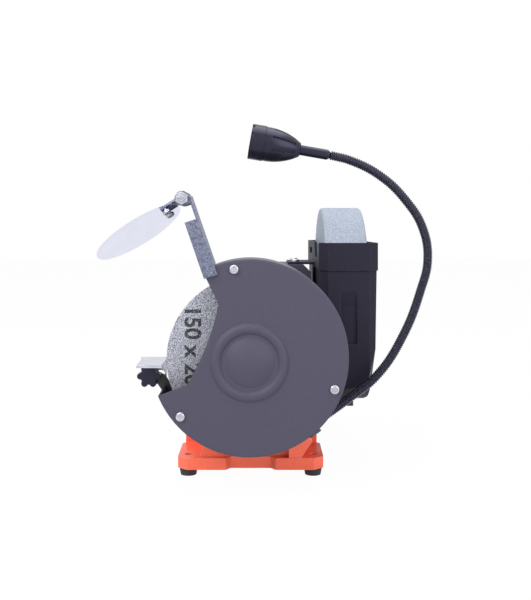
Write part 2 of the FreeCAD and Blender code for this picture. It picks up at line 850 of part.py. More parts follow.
def tank_form(inset, top_z):
    # Upright box with cut corners, drawn in below the knee, with a floor that dips round the stone.
    low_z = wet_z - tank_bottom_dia / 2 + inset
    body = prism(plan_outline(inset, low_z), z_way * (top_z - low_z))
    half = tank_width / 2 - inset
    draft = tank_draft + tank_lower_draft
    end = [(half, top_z), (half - tank_draft, tank_knee_z), (half - draft, low_z + tank_keel_height),
           (half - draft - tank_keel_width, low_z)]
    end += [(-y, z) for y, z in reversed(end)]
    start = Vec(tank_x0 - 1, tank_y, 0)
    body = body.common(prism([start + Vec(0, y, z) for y, z in end], x_way * (tank_length + 2)))
    floor = tank_floor_z + inset
    upper = block(tank_x0, tank_x1, tank_y - tank_width, tank_y + tank_width, floor, top_z)
    dip = rod(tank_bottom_dia - 2 * inset, spindle_at(tank_y - tank_width), spindle_at(tank_y + tank_width))
    body = body.common(upper.fuse(dip))
    for x_sign in (-1, 1):
        for y_sign in (-1, 1):
            body = body.cut(tank_corner_wedge(inset, x_sign, y_sign))
    return body


def tank_corner_wedge(inset, x_sign, y_sign):
    # What a slanted plane takes off a lower corner, more and more towards the floor.
    far_x = tank_length / 2 - inset
    far_y = tank_width / 2 - tank_draft - inset
    drop = tank_knee_z - tank_floor_z
    corners = []
    for depth in (0, 2 * drop):
        z = tank_knee_z - depth
        in_y = tank_taper_y * depth / drop
        in_x = tank_taper_x * depth / drop
        ring = [Vec(far_x, far_y - in_y, z), Vec(far_x - in_x, far_y, z)]
        corners.append([Vec(tank_x_mid + x_sign * p.x, tank_y + y_sign * p.y, p.z) for p in ring])
    top = corners[0][0]
    low_end, low_side = corners[1]
    normal = (low_end - top).cross(low_side - top).normalize()
    if normal.x * x_sign < 0:
        normal = normal * -1
    half = Part.makePlane(tank_length, tank_length, Vec(0, 0, 0), normal)
    half.translate(top - half.BoundBox.Center)
    return half.extrude(normal * tank_length)


slot_width = spindle_dia + 8


def spindle_slot(z1):
    # The way for the spindle through the front wall, open at the top.
    front = tank_y - tank_width / 2
    low = rod(slot_width, spindle_at(front - 5), spindle_at(front + tank_wall + 5))
    half = slot_width / 2
    return low.fuse(block(wet_x - half, wet_x + half, front - 5, front + tank_wall + 5, wet_z, z1))


def make_tank():
    shell = tank_form(tank_step, tank_joint_z)
    hollow = tank_form(tank_step + tank_wall, tank_joint_z + 1)
    # A finger pull in the near end: its upper part slopes inwards to a flat back.
    face_x = tank_x1 - tank_step
    back_x = face_x - recess_depth
    profile = [(face_x, recess_top_z), (back_x, recess_step_z), (back_x, recess_low_z), (face_x + 1, recess_low_z),
               (face_x + 1, recess_top_z)]
    panel = prism([Vec(x, tank_y - recess_half, z) for x, z in profile], y_way * (2 * recess_half))
    back = block(face_x - recess_depth - tank_wall * 0.6, face_x - tank_wall + 0.5, tank_y - recess_half - 2,
                 tank_y + recess_half + 2, recess_low_z - 2, recess_top_z + 2)
    body = join([shell.cut(hollow), back]).cut(panel)
    return body.cut(spindle_slot(tank_joint_z + 1))


def make_splash_ring():
    height = tank_rim_z - tank_joint_z
    body = prism(plan_outline(0, tank_joint_z), z_way * height)
    body = body.cut(prism(plan_outline(tank_wall, tank_joint_z - 1), z_way * (height + 2)))
    front = tank_y - tank_width / 2
    flare = 8.0
    notch = [(notch_x0, tank_rim_z + 1), (notch_x0 + flare, notch_z), (notch_x1 - flare, notch_z),
             (notch_x1, tank_rim_z + 1)]
    body = body.cut(prism([Vec(x, front - 1, z) for x, z in notch], y_way * (tank_wall + 2)))
    body = body.cut(block(vent_x0, vent_x1, front - 1, front + tank_wall + 1, vent_z0, vent_z1))
    # A lip over the gear housing holds the ring, and a tongue closes the tank's slot above the spindle.
    lip = block(gear_x0 + 6, gear_x1 - 6, ring_screw_y - 8, front + 1, gear_box_top, gear_box_top + lip_thick)
    tongue = block(wet_x - slot_width / 2 + slide_gap, wet_x + slot_width / 2 - slide_gap, front + slide_gap,
                   front + tank_wall, wet_z, tank_joint_z + 1)
    tongue = tongue.cut(rod(slot_width, spindle_at(front - 5), spindle_at(front + 10)))
    body = join([body, lip, tongue])
    for x in ring_screw_places:
        body = body.cut(rod(ring_screw_dia + loose_gap, Vec(x, ring_screw_y, gear_box_top - 1),
                            Vec(x, ring_screw_y, gear_box_top + 10)))
    return body


def make_ring_screws():
    screws = []
    for x in ring_screw_places:
        seat = Vec(x, ring_screw_y, gear_box_top + lip_thick)
        screws.append(screw(2 * ring_screw_dia, 2.6, ring_screw_dia - 0.8, gear_wall, seat, z_way * -1))
    return screws


def make_support():
    low = tank_floor_z - support_height
    return block(support_x0, support_x0 + support_length, support_seat_y, support_end_y, low, tank_floor_z)


# Eye shield
lean = math.radians(bracket_lean)
bracket_up = Vec(0, -math.sin(lean), math.cos(lean))
bracket_out = Vec(0, -math.cos(lean), -math.sin(lean))
bracket_x1 = guard_x1 + slide_gap + bracket_sheet
bracket_x0 = bracket_x1 - bracket_width
bracket_foot = Vec(0, bracket_foot_y, bracket_foot_z)
pivot = bracket_foot + bracket_up * pivot_along + bracket_out * pivot_out


def bracket_plate(x0, x1, outline):
    # A flat piece in the bracket's own plane, with points given as (along, out).
    corners = [bracket_foot + bracket_up * along + bracket_out * out + x_way * x0 for along, out in outline]
    return prism(corners, x_way * (x1 - x0))


def pivot_at(x):
    return Vec(x, pivot.y, pivot.z)


def make_bracket():
    sheet = bracket_sheet
    strip = [(0, 0), (bracket_length, 0), (bracket_length, sheet), (0, sheet)]
    web = bracket_plate(bracket_x0, bracket_x1, strip)
    flange = bracket_plate(bracket_x1 - sheet, bracket_x1, [(-bracket_flange_drop, 0), (bracket_flange_top, 0),
                                                            (bracket_flange_top, bracket_flange),
                                                            (-bracket_flange_drop, bracket_flange)])
    pieces = [web, flange]
    ear_half = ear_dia / 2
    for x0 in (bracket_x0, bracket_x1 - sheet):
        root = bracket_plate(x0, x0 + sheet, [(pivot_along - ear_half, 0), (pivot_along, 0), (pivot_along, pivot_out),
                                              (pivot_along - ear_half, pivot_out)])
        pieces += [root, rod(ear_dia, pivot_at(x0), pivot_at(x0 + sheet))]
    body = join(pieces)
    body = body.cut(rod(pivot_bolt_dia + loose_gap, pivot_at(bracket_x0 - 1), pivot_at(bracket_x1 + 1)))
    body = body.cut(rod(bracket_screw_dia + loose_gap, bracket_screw - x_way * 5, bracket_screw + x_way * 5))
    # The web's foot stands on the guard's curved band.
    drum = rod(guard_dia + 2 * slide_gap, Vec(guard_x0, 0, guard_z), Vec(guard_x1 + slide_gap, 0, guard_z))
    return body.cut(drum)


bracket_screw = bracket_foot + bracket_out * (bracket_flange / 2) - bracket_up * 4.5 + x_way * bracket_x1


def make_bracket_screw():
    reach = bracket_sheet + 1.6
    return screw(2 * bracket_screw_dia, 1.2, bracket_screw_dia - 0.8, reach, bracket_screw, x_way * -1)


def make_pivot_bolt():
    head = hex_rod(1.7 * pivot_bolt_dia, pivot_at(bracket_x0 - 4), pivot_at(bracket_x0))
    return join([head, rod(pivot_bolt_dia, pivot_at(bracket_x0), pivot_at(bracket_x1 + 7))])


def make_pivot_nut():
    nut = hex_rod(1.7 * pivot_bolt_dia, pivot_at(bracket_x1), pivot_at(bracket_x1 + 5))
    return nut.cut(rod(pivot_bolt_dia + 2 * seat_gap, pivot_at(bracket_x1 - 1), pivot_at(bracket_x1 + 6)))


slope = math.radians(lens_slope)
lens_way = Vec(0, -math.cos(slope), -math.sin(slope))
lens_turn = FreeCAD.Rotation(lens_way, lens_twist)
lens_side = lens_turn.multVec(x_way)
lens_up = lens_side.cross(lens_way)
clip_width = bracket_width - 2 * bracket_sheet - 2 * loose_gap
clip_x = (bracket_x0 + bracket_x1) / 2
lens_shift = lens_x - clip_x


def lens_point(along, across, height):
    return pivot_at(clip_x) + lens_way * along + lens_side * across + lens_up * height


def lens_plate(outline, height, thick):
    return prism([lens_point(along, across, height) for along, across in outline], lens_up * thick)


def make_clip():
    # A barrel on the pivot bolt with a tongue under the shield, turned with the shield's twist.
    barrel = rod(1.7 * pivot_bolt_dia, pivot_at(clip_x - clip_width / 2), pivot_at(clip_x + clip_width / 2))
    half = clip_width / 2 - 4
    tongue = lens_plate([(2, -half), (clip_reach, -half), (clip_reach, half), (2, half)], -clip_sheet, clip_sheet)
    body = join([barrel, tongue])
    body = body.cut(rod(pivot_bolt_dia + 2 * run_gap, pivot_at(bracket_x0), pivot_at(bracket_x1)))
    for across in clip_screw_places:
        body = body.cut(rod(clip_screw_dia - 0.6, lens_point(clip_screw_along, across, -6),
                            lens_point(clip_screw_along, across, 6)))
    return body


clip_screw_along = clip_reach - 4
clip_screw_places = (-clip_width / 4, clip_width / 4)


def make_lens():
    middle = lens_point(lens_start + lens_length / 2, lens_shift, 0)
    oval = Part.Ellipse(middle + lens_way * (lens_length / 2), middle + lens_side * (lens_width / 2), middle)
    plate = Part.Face(Part.Wire(oval.toShape())).extrude(lens_up * lens_thick)
    for across in clip_screw_places:
        plate = plate.cut(rod(clip_screw_dia + loose_gap, lens_point(clip_screw_along, across, -1),
                              lens_point(clip_screw_along, across, lens_thick + 1)))
    barrel = rod(1.7 * pivot_bolt_dia + loose_gap, pivot_at(bracket_x0), pivot_at(bracket_x1))
    return plate.cut(barrel)


def make_clip_screws():
    screws = []
    for across in clip_screw_places:
        seat = lens_point(clip_screw_along, across, lens_thick)
        reach = lens_thick + clip_sheet
        screws.append(screw(2 * clip_screw_dia, 2.4, clip_screw_dia - 0.8, reach, seat, lens_up * -1))
    return screws


# Tool rest
arm_x1 = guard_x0
arm_x0 = arm_x1 - rest_arm_thick
tab_x1 = arm_x0 - slide_gap
tab_x0 = tab_x1 - rest_tab_thick
tab_low = knob_z - 10
bolt_hole = rest_bolt_dia + 2 * run_gap


def knob_at(x):
    return Vec(x, knob_y, knob_z)


def arm_foot_at(x, share):
    # A point on the arm's middle line, from its foot on the guard to its elbow.
    return Vec(x, rest_arm_foot_y + (rest_arm_elbow_y - rest_arm_foot_y) * share,
               rest_arm_foot_z + (rest_arm_elbow_z - rest_arm_foot_z) * share)


arm_screw_shares = (0.0, 0.3)


def arm_bar(start, end):
    line = (end - start).normalize()
    side = x_way.cross(line) * (rest_arm_width / 2)
    return prism([start + side, start - side, end - side, end + side], x_way * rest_arm_thick)


def make_rest_arm():
    foot = arm_foot_at(arm_x0, 0)
    elbow = arm_foot_at(arm_x0, 1)
    end = knob_at(arm_x0)
    thick = x_way * rest_arm_thick
    rounds = [rod(rest_arm_width, foot, foot + thick), rod(rest_arm_width, elbow, elbow + thick)]
    boss = rod(rest_arm_boss_dia, end, end + thick)
    arm = join([arm_bar(foot, elbow), arm_bar(elbow, end), boss] + rounds)
    arm = arm.cut(rod(bolt_hole, end - x_way, end + thick * 2))
    for share in arm_screw_shares:
        arm = arm.cut(rod(arm_screw_dia - 0.6, arm_foot_at(arm_x0 - 1, share), arm_foot_at(arm_x1 + 1, share)))
    return arm


def make_rest_arm_screws():
    screws = []
    for share in arm_screw_shares:
        seat = arm_foot_at(arm_x0, share)
        screws.append(screw(2 * arm_screw_dia, 3.0, arm_screw_dia - 0.8, rest_arm_thick, seat, x_way))
    return screws


def make_rest():
    plate = block(tab_x0, rest_x0 + rest_length, rest_y0, rest_y1, rest_top - rest_sheet, rest_top)
    tab = block(tab_x0, tab_x1, rest_y0 - 2, rest_y1 - 1, tab_low, rest_top)
    slot = rod(bolt_hole + loose_gap, knob_at(tab_x0 - 1), knob_at(tab_x1 + 1))
    half = (bolt_hole + loose_gap) / 2
    reach = block(tab_x0 - 1, tab_x1 + 1, knob_y, knob_y + rest_travel, knob_z - half, knob_z + half)
    end = slot.translated(Vec(0, rest_travel, 0))
    return join([plate, tab]).cut(slot.fuse([reach, end]))


def make_rest_bolt():
    head = hex_rod(1.7 * rest_bolt_dia, knob_at(tab_x0 - slide_gap - 4), knob_at(tab_x0 - slide_gap))
    return join([head, rod(rest_bolt_dia, knob_at(tab_x0 - slide_gap), knob_at(arm_x1 + knob_length))])


def make_knob():
    start = arm_x1 + slide_gap
    end = start + knob_length
    body = rod(knob_dia * 0.72, knob_at(start), knob_at(end))
    lobes = [body]
    radius = knob_dia * 0.36
    lobe_dia = knob_dia - 2 * radius
    for index in range(knob_lobes):
        angle = 2 * math.pi * index / knob_lobes
        offset = Vec(0, radius * math.cos(angle), radius * math.sin(angle))
        lobes.append(rod(lobe_dia, knob_at(start + 3) + offset, knob_at(end) + offset))
    bore_end = knob_at(arm_x1 + knob_length + run_gap)
    return join(lobes).cut(rod(rest_bolt_dia + 2 * run_gap, knob_at(start - 1), bore_end))


# Gooseneck lamp
ball_radius = ball_dia / 2
neck_radius = neck_dia / 2
ball_centre = socket_mouth - socket_way * mouth_depth
neck_offset = math.sqrt(ball_radius ** 2 - neck_radius ** 2)
neck_start = ball_centre + socket_way * neck_offset
lamp_way = Vec(0, -math.cos(math.radians(lamp_angle)), math.sin(math.radians(lamp_angle)))
lamp_pivot = Vec(lamp_x, lamp_pivot_y, lamp_pivot_z)
neck_end = lamp_pivot - lamp_way * tip_gap
neck_route = [neck_start] + [Vec(lamp_x, y, z) for y, z in neck_bends] + [neck_end]


def make_socket():
    body = rod(socket_dia, socket_foot, socket_mouth)
    return body.cut(Part.makeSphere(ball_radius + 3 * run_gap, ball_centre))


def neck_ring(route, length, radius):
    # One circle across the gooseneck, with its own X axis kept along X.
    parameter = route.parameterAtDistance(length)
    circle = Part.Circle(route.value(parameter), route.tangent(parameter)[0], radius)
    circle.XAxis = x_way
    return Part.Wire(circle.toShape())


def make_gooseneck():
    route = Part.BSplineCurve()
    route.interpolate(Points=neck_route, InitialTangent=socket_way, FinalTangent=lamp_way)
    total = route.length()
    rib_count = int(total / rib_pitch)
    pitch = total / rib_count
    root = neck_radius - rib_depth
    outer = []
    for index in range(rib_count):
        for share, radius in ((0.0, root), (0.2, neck_radius), (0.6, neck_radius), (0.8, root)):
            outer.append(neck_ring(route, (index + share) * pitch, radius))
    outer.append(neck_ring(route, total, root))
    inner = [neck_ring(route, total * index / rib_count, neck_bore / 2) for index in range(rib_count + 1)]
    skin = Part.makeLoft(outer, False, True)
    lining = Part.makeLoft(inner, False, True)
    ends = []
    for index in (0, -1):
        ring = Part.Face(outer[index]).cut(Part.Face(inner[index]))
        ends += ring.Faces
    shell = Part.Shell(skin.Faces + lining.Faces + ends)
    print("gooseneck ribs", rib_count, "length", round(total, 1))
    return Part.Solid(shell)


def make_neck_fittings():
    ball = Part.makeSphere(ball_radius, ball_centre)
    reach = ball_dia * 2
    above = rod(reach, neck_start, neck_start + socket_way * reach)
    tip = Part.makeSphere(tip_ball_dia / 2, lamp_pivot).fuse(rod(tip_pin_dia, neck_end, lamp_pivot))
    return [ball.cut(above), tip.removeSplitter()]


lamp_foot = lamp_pivot + lamp_way * sleeve_length
lamp_front = lamp_foot + lamp_way * lamp_length
bezel_start = lamp_length - bezel_length
lamp_neck_dia = sleeve_dia + 3
lamp_radius = lamp_dia / 2


def make_sleeve():
    start = lamp_pivot - lamp_way * sleeve_mouth
    body = rod(sleeve_dia, start, lamp_foot)
    body = body.cut(Part.makeSphere(tip_ball_dia / 2 + 3 * run_gap, lamp_pivot))
    return body.cut(rod(tip_ball_dia - 2, lamp_pivot, lamp_pivot + lamp_way * 3))


def lamp_body(shrink, start, end):
    # The bullet-shaped body, or a smaller copy of it, as a solid.
    foot = lamp_neck_dia / 2 - shrink
    mouth = lamp_radius - 0.6 - shrink
    bulge = (lamp_neck_dia / 2 + lamp_radius - 0.6) / 2 + 2.2 - shrink
    profile = [(start, 0), (start, foot), (end, mouth), (end, 0)]
    return turned(profile, lamp_foot, lamp_way, x_way, {1: (start + bezel_start * 0.42, bulge)})


def make_lamp_housing():
    outer = lamp_body(0, 0, bezel_start)
    shell = outer.cut(lamp_body(lamp_wall, lamp_wall, bezel_start + lamp_wall))
    groove_zone = outer.cut(lamp_body(groove_depth, 0, bezel_start))
    reach = rod(2 * lamp_dia, lamp_foot + lamp_way * groove_start, lamp_foot + lamp_way * groove_end)
    groove_zone = groove_zone.common(reach)
    for index in range(slot_count // 2):
        slab = block(-groove_width / 2, groove_width / 2, -lamp_length, 0, -lamp_dia, lamp_dia)
        slab.rotate(Vec(0, 0, 0), y_way, 360 * (index + 0.5) / slot_count)
        slab.rotate(Vec(0, 0, 0), x_way, -lamp_angle)
        slab.translate(lamp_foot)
        shell = shell.cut(slab.common(groove_zone))
    return shell


def make_bezel():
    inner = lamp_radius - 2.0
    start = lamp_foot + lamp_way * bezel_start
    ring = pipe(lamp_dia, 2 * inner, start, lamp_front)
    lip = pipe(2 * inner, 2 * inner - 4, start, start + lamp_way * 1.5)
    body = join([ring, lip])
    for index in range(bezel_teeth):
        angle = 360 * index / bezel_teeth
        notch = block(lamp_x - 1.6, lamp_x + 1.6, -2.4, 1, lamp_radius - 1.0, lamp_radius + 3)
        notch.rotate(Vec(lamp_x, 0, 0), y_way, angle)
        notch.rotate(Vec(lamp_x, 0, 0), x_way, -lamp_angle)
        notch.translate(Vec(0, lamp_front.y, lamp_front.z) - lamp_way * 1.4)
        body = body.cut(notch)
    return body


def make_lamp_lens():
    back = lamp_front - lamp_way * 4.0
    return rod(lamp_dia - 4.0 - 2 * seat_gap, back, back + lamp_way * 2.0)


def make_lamp_board():
    start = lamp_foot + lamp_way * (bezel_start + 1.5)
    return rod(lamp_dia - 4.0 - 2 * seat_gap, start, start + lamp_way * 3.0)


# Switch, cord gland and capacitor
def make_switch_frame():
    half_x = switch_length / 2
    half_y = switch_width / 2
    plate = block(-half_x, half_x, -half_y, half_y, 0, 2.5)
    can = block(-half_x + 3, half_x - 3, -half_y + 3, half_y - 3, -switch_depth, 0)
    opening = block(-rocker_width / 2 - loose_gap, rocker_width / 2 + loose_gap, -half_y + 3.5, half_y - 3.5, -9, 5)
    pin = rod(3.0, Vec(-half_x + 4, 0, -2), Vec(half_x - 4, 0, -2))
    body = join([plate.fuse(can).cut(opening), pin])
    body.Placement = switch_place()
    return body


def make_rocker():
    # A shallow V on top, tilted to its off position, on a pin that crosses the frame.
    half_x = rocker_width / 2
    half_y = switch_width / 2 - 4.5
    outline = [(-half_y, 4.2), (0, 2.6), (half_y, 4.2), (half_y - 0.8, -4), (-half_y + 0.8, -4)]
    body = prism([Vec(-half_x, y, z) for y, z in outline], x_way * rocker_width)
    body = body.cut(rod(3.0 + 2 * run_gap, Vec(-half_x - 1, 0, -2), Vec(half_x + 1, 0, -2)))
    body.rotate(Vec(0, 0, -2), x_way, -rocker_angle)
    body.Placement = switch_place().multiply(body.Placement)
    return body


def make_gland():
    way = Vec(-1, 0, 0)
    collar = hex_rod(gland_dia, gland_seat + way * 5, gland_seat + x_way * 4)
    collar = collar.cut(pedestal(-seat_gap, rim_z, pedestal_top_z))
    stem = rod(gland_bore + 4 - 2 * seat_gap, gland_seat + way * 4, gland_seat + x_way * 2 * base_wall)
    nose = rod(gland_dia * 0.75, gland_seat + way * 12, gland_seat + way * 5)
    body = join([stem, collar, nose])
    return body.cut(rod(gland_bore, gland_seat + way * 20, gland_seat + x_way * 4 * base_wall))


def make_capacitor():
    # Lies along the hollow base on its plate.
    z = plate_post_z + capacitor_dia / 2
    half = capacitor_length / 2
    return rod(capacitor_dia, Vec(-half, capacitor_y, z), Vec(half, capacitor_y, z))


# Pieces, each written to its own file
save("base", make_base())
save("rubber_feet", *make_feet())
save("base_plate", make_base_plate())
save("base_plate_screws", *make_plate_screws())
save("motor_housing", make_motor_housing())
save("end_bell", make_end_bell())
save("stator_core", make_stator_core())
save("stator_windings", *make_windings())
save("rotor_core", make_rotor())
save("shaft_bearings", *make_bearings())
save("gear_housing", make_gear_housing())
save("gear_cover", make_gear_cover())
save("gear_cover_screws", *make_gear_cover_screws())
save("worm", make_worm())
save("worm_wheel", make_worm_wheel())
save("spindle_bushes", *make_bushes())
save("spindle_seal", make_seal())
save("motor_shaft", make_shaft())
save("wet_spindle", make_spindle())
save("wet_stone", make_wet_stone())
save("wet_stone_flanges", *make_wet_flanges())
save("wet_stone_nut", make_wet_nut())
save("dry_stone", make_dry_stone())
save("stone_blotters", *make_blotters())
save("dry_inner_flange", dry_flange(flange_x0))
save("dry_outer_flange", dry_flange(outer_flange_x))
save("dry_stone_nut", make_dry_nut())
save("guard_shell", make_guard_shell())
save("guard_cover", make_guard_cover())
save("cover_screws", *make_cover_screws())
save("guard_mount_screws", *make_guard_mount_screws())
save("water_tank", make_tank())
save("splash_ring", make_splash_ring())
save("splash_ring_screws", *make_ring_screws())
save("tank_support", make_support())
save("shield_bracket", make_bracket())
save("shield_bracket_screw", make_bracket_screw())
save("shield_pivot_bolt", make_pivot_bolt())
save("shield_pivot_nut", make_pivot_nut())
save("shield_clip", make_clip())
save("eye_shield", make_lens())
save("shield_screws", *make_clip_screws())
save("tool_rest_arm", make_rest_arm())
save("tool_rest_arm_screws", *make_rest_arm_screws())
save("tool_rest", make_rest())
save("tool_rest_bolt", make_rest_bolt())
save("tool_rest_knob", make_knob())
save("gooseneck_socket", make_socket())
save("gooseneck_fittings", *make_neck_fittings())
save("gooseneck", make_gooseneck())
save("lamp_sleeve", make_sleeve())
save("lamp_housing", make_lamp_housing())
save("lamp_bezel", make_bezel())
save("lamp_lens", make_lamp_lens())
save("lamp_board", make_lamp_board())
save("switch_frame", make_switch_frame())
save("switch_rocker", make_rocker())
save("cord_gland", make_gland())
save("run_capacitor", make_capacitor())
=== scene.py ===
import bpy
import bmesh
import json
import math
import random
from mathutils import Matrix, Vector


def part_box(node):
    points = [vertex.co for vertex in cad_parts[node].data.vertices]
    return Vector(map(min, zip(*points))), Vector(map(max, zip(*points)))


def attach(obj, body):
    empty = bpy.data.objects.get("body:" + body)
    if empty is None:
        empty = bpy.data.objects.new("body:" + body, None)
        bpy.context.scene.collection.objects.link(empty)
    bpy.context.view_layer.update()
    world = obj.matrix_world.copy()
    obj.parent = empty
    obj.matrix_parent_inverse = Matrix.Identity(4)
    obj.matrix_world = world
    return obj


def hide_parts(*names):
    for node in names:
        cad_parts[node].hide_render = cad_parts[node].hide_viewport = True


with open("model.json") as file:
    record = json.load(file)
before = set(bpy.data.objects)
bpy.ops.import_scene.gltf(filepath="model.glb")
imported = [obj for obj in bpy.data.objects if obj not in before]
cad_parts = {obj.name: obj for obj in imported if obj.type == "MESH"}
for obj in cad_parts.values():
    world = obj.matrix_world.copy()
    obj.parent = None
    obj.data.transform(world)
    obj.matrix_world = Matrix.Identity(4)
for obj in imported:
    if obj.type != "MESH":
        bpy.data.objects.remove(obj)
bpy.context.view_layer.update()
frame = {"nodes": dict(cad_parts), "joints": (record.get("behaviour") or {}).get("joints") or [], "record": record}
nodes = frame["nodes"]
mm = 0.001
bevelSamples = 6
print("frame loaded:", len(nodes), "nodes")


# small helpers for node trees
def addNode(tree, kind, inputs=None, **settings):
    made = tree.nodes.new(kind)
    for key, value in settings.items():
        setattr(made, key, value)
    for key, value in (inputs or {}).items():
        if isinstance(value, bpy.types.NodeSocket):
            tree.links.new(value, made.inputs[key])
        else:
            made.inputs[key].default_value = value
    return made


def addMath(tree, operation, first, second=0.0):
    return addNode(tree, "ShaderNodeMath", {0: first, 1: second}, operation=operation).outputs[0]


def addRange(tree, value, low, high, toLow=0.0, toHigh=1.0):
    inputs = {"Value": value, "From Min": low, "From Max": high, "To Min": toLow, "To Max": toHigh}
    return addNode(tree, "ShaderNodeMapRange", inputs).outputs["Result"]


def addMix(tree, factor, first, second):
    mix = addNode(tree, "ShaderNodeMix", data_type="RGBA")
    for socket, value in ((mix.inputs[0], factor), (mix.inputs[6], first), (mix.inputs[7], second)):
        if isinstance(value, bpy.types.NodeSocket):
            tree.links.new(value, socket)
        else:
            socket.default_value = (*value, 1.0)
    return mix.outputs[2]


def objectPlace(tree):
    return addNode(tree, "ShaderNodeTexCoord").outputs["Object"]


def addNoise(tree, place, scale, detail, **more):
    return addNode(tree, "ShaderNodeTexNoise", {"Vector": place, "Scale": scale, "Detail": detail, **more})


def addCells(tree, place, scale):
    cells = addNode(tree, "ShaderNodeTexVoronoi", {"Vector": place, "Scale": scale, "Randomness": 1.0})
    return addNode(tree, "ShaderNodeSeparateColor", {"Color": cells.outputs["Color"]}).outputs[0]


def newGroup(name, inputs, outputs):
    tree = bpy.data.node_groups.new(name, "ShaderNodeTree")
    for label, value in inputs.items():
        socket = tree.interface.new_socket(label, in_out="INPUT", socket_type="NodeSocketFloat")
        socket.default_value = value
    for label, kind in outputs.items():
        tree.interface.new_socket(label, in_out="OUTPUT", socket_type=kind)
    return tree, tree.nodes.new("NodeGroupInput"), tree.nodes.new("NodeGroupOutput")


# shared effects: worn rounded edges, whose lighter edge colour also serves as a painted edge highlight, and a fine
# grain with its bump
def edgeWearAndHighlightGroup():
    wearAndHighlight = {"flat": 0.995, "sharp": 0.82, "detail": 4.0, "patchLow": 0.42, "patchHigh": 0.62}
    tree, given, result = newGroup("edgeWearAndHighlight", {"Radius": 0.0008, "Amount": 0.5, "Scale": 400.0},
                                   {"Mask": "NodeSocketFloat", "Normal": "NodeSocketVector"})
    rounded = addNode(tree, "ShaderNodeBevel", {"Radius": given.outputs["Radius"]}, samples=bevelSamples)
    flat = addNode(tree, "ShaderNodeNewGeometry")
    same = addNode(tree, "ShaderNodeVectorMath", {0: rounded.outputs[0], 1: flat.outputs["Normal"]},
                   operation="DOT_PRODUCT")
    edge = addRange(tree, same.outputs["Value"], wearAndHighlight["flat"], wearAndHighlight["sharp"])
    noise = addNoise(tree, objectPlace(tree), given.outputs["Scale"], wearAndHighlight["detail"])
    patchy = addRange(tree, noise.outputs[0], wearAndHighlight["patchLow"], wearAndHighlight["patchHigh"])
    # the edge mask lightens rounded edges as wear and also as a painted highlight where light would catch them
    wornAndLit = addMath(tree, "MULTIPLY", addMath(tree, "MULTIPLY", edge, patchy), given.outputs["Amount"])
    tree.links.new(wornAndLit, result.inputs["Mask"])
    tree.links.new(rounded.outputs[0], result.inputs["Normal"])
    return tree


def grainGroup():
    grain = {"detail": 3.0, "roughness": 0.6}
    tree, given, result = newGroup("surfaceGrain",
                                   {"Scale": 900.0, "Strength": 0.2, "Depth": 0.0002, "Radius": 0.0006},
                                   {"Fac": "NodeSocketFloat", "Normal": "NodeSocketVector"})
    noise = addNoise(tree, objectPlace(tree), given.outputs["Scale"], grain["detail"],
                     Roughness=grain["roughness"])
    rounded = addNode(tree, "ShaderNodeBevel", {"Radius": given.outputs["Radius"]}, samples=bevelSamples)
    bump = addNode(tree, "ShaderNodeBump", {"Height": noise.outputs[0], "Normal": rounded.outputs[0],
                                            "Strength": given.outputs["Strength"],
                                            "Distance": given.outputs["Depth"]})
    tree.links.new(noise.outputs[0], result.inputs["Fac"])
    tree.links.new(bump.outputs[0], result.inputs["Normal"])
    return tree


edgeWearAndHighlight = edgeWearAndHighlightGroup()
surfaceGrain = grainGroup()


def newMaterial(name):
    material = bpy.data.materials.new(name)
    material.use_nodes = True
    tree = material.node_tree
    return material, tree, tree.nodes["Principled BSDF"]


def addGroup(tree, group, **values):
    made = addNode(tree, "ShaderNodeGroup", node_tree=group)
    for label, value in values.items():
        made.inputs[label].default_value = value
    return made


def link(tree, value, shader, label):
    tree.links.new(value, shader.inputs[label])


# painted or moulded surface: a speckled colour, a grain bump and worn edges; the lighter edge colour is wear and
# also a painted highlight along the edges
def coatedMaterial(name, colour, speck, wearAndHighlightColour, roughness, metallic=0.0, scale=900.0, strength=0.2,
                   radius=0.0006, wearAndHighlight=0.4, coat=0.0, gloss=0.5, sheen=(1.0, 1.0, 1.0)):
    look = {"speckLow": 0.35, "speckHigh": 0.72, "glossLow": 0.3, "glossHigh": 0.7, "smoother": 0.06,
            "rougher": 0.1, "depth": 0.0002}
    material, tree, shader = newMaterial(name)
    grain = addGroup(tree, surfaceGrain, Scale=scale, Strength=strength, Depth=look["depth"], Radius=radius)
    wornAndLit = addGroup(tree, edgeWearAndHighlight, Radius=radius, Amount=wearAndHighlight)
    fac = grain.outputs["Fac"]
    tint = addMix(tree, addRange(tree, fac, look["speckLow"], look["speckHigh"]), colour, speck)
    link(tree, addMix(tree, wornAndLit.outputs["Mask"], tint, wearAndHighlightColour), shader, "Base Color")
    link(tree, addRange(tree, fac, look["glossLow"], look["glossHigh"], roughness - look["smoother"],
                        roughness + look["rougher"]), shader, "Roughness")
    link(tree, grain.outputs["Normal"], shader, "Normal")
    shader.inputs["Metallic"].default_value = metallic
    shader.inputs["Coat Weight"].default_value = coat
    shader.inputs["Specular IOR Level"].default_value = gloss
    shader.inputs["Specular Tint"].default_value = (*sheen, 1.0)
    return material


# bonded grit: grains of several tones with dark pores between them
def gritMaterial(name, light, middle, dark, scale, darkShare, roughness, depth):
    look = {"toneLow": 0.2, "toneHigh": 0.9, "poreScale": 0.8, "poreStart": 0.5, "poreEnd": 0.56,
            "detail": 3.0, "strength": 0.7}
    material, tree, shader = newMaterial(name)
    place = objectPlace(tree)
    tone = addCells(tree, place, scale)
    body = addMix(tree, addRange(tree, tone, look["toneLow"], look["toneHigh"]), middle, light)
    pores = addNoise(tree, place, scale * look["poreScale"], look["detail"])
    pore = addRange(tree, pores.outputs[0], look["poreStart"] + darkShare, look["poreEnd"] + darkShare)
    link(tree, addMix(tree, pore, body, dark), shader, "Base Color")
    height = addMath(tree, "SUBTRACT", tone, pore)
    bump = addNode(tree, "ShaderNodeBump",
                   {"Height": height, "Strength": look["strength"], "Distance": depth})
    link(tree, bump.outputs[0], shader, "Normal")
    shader.inputs["Roughness"].default_value = roughness
    return material


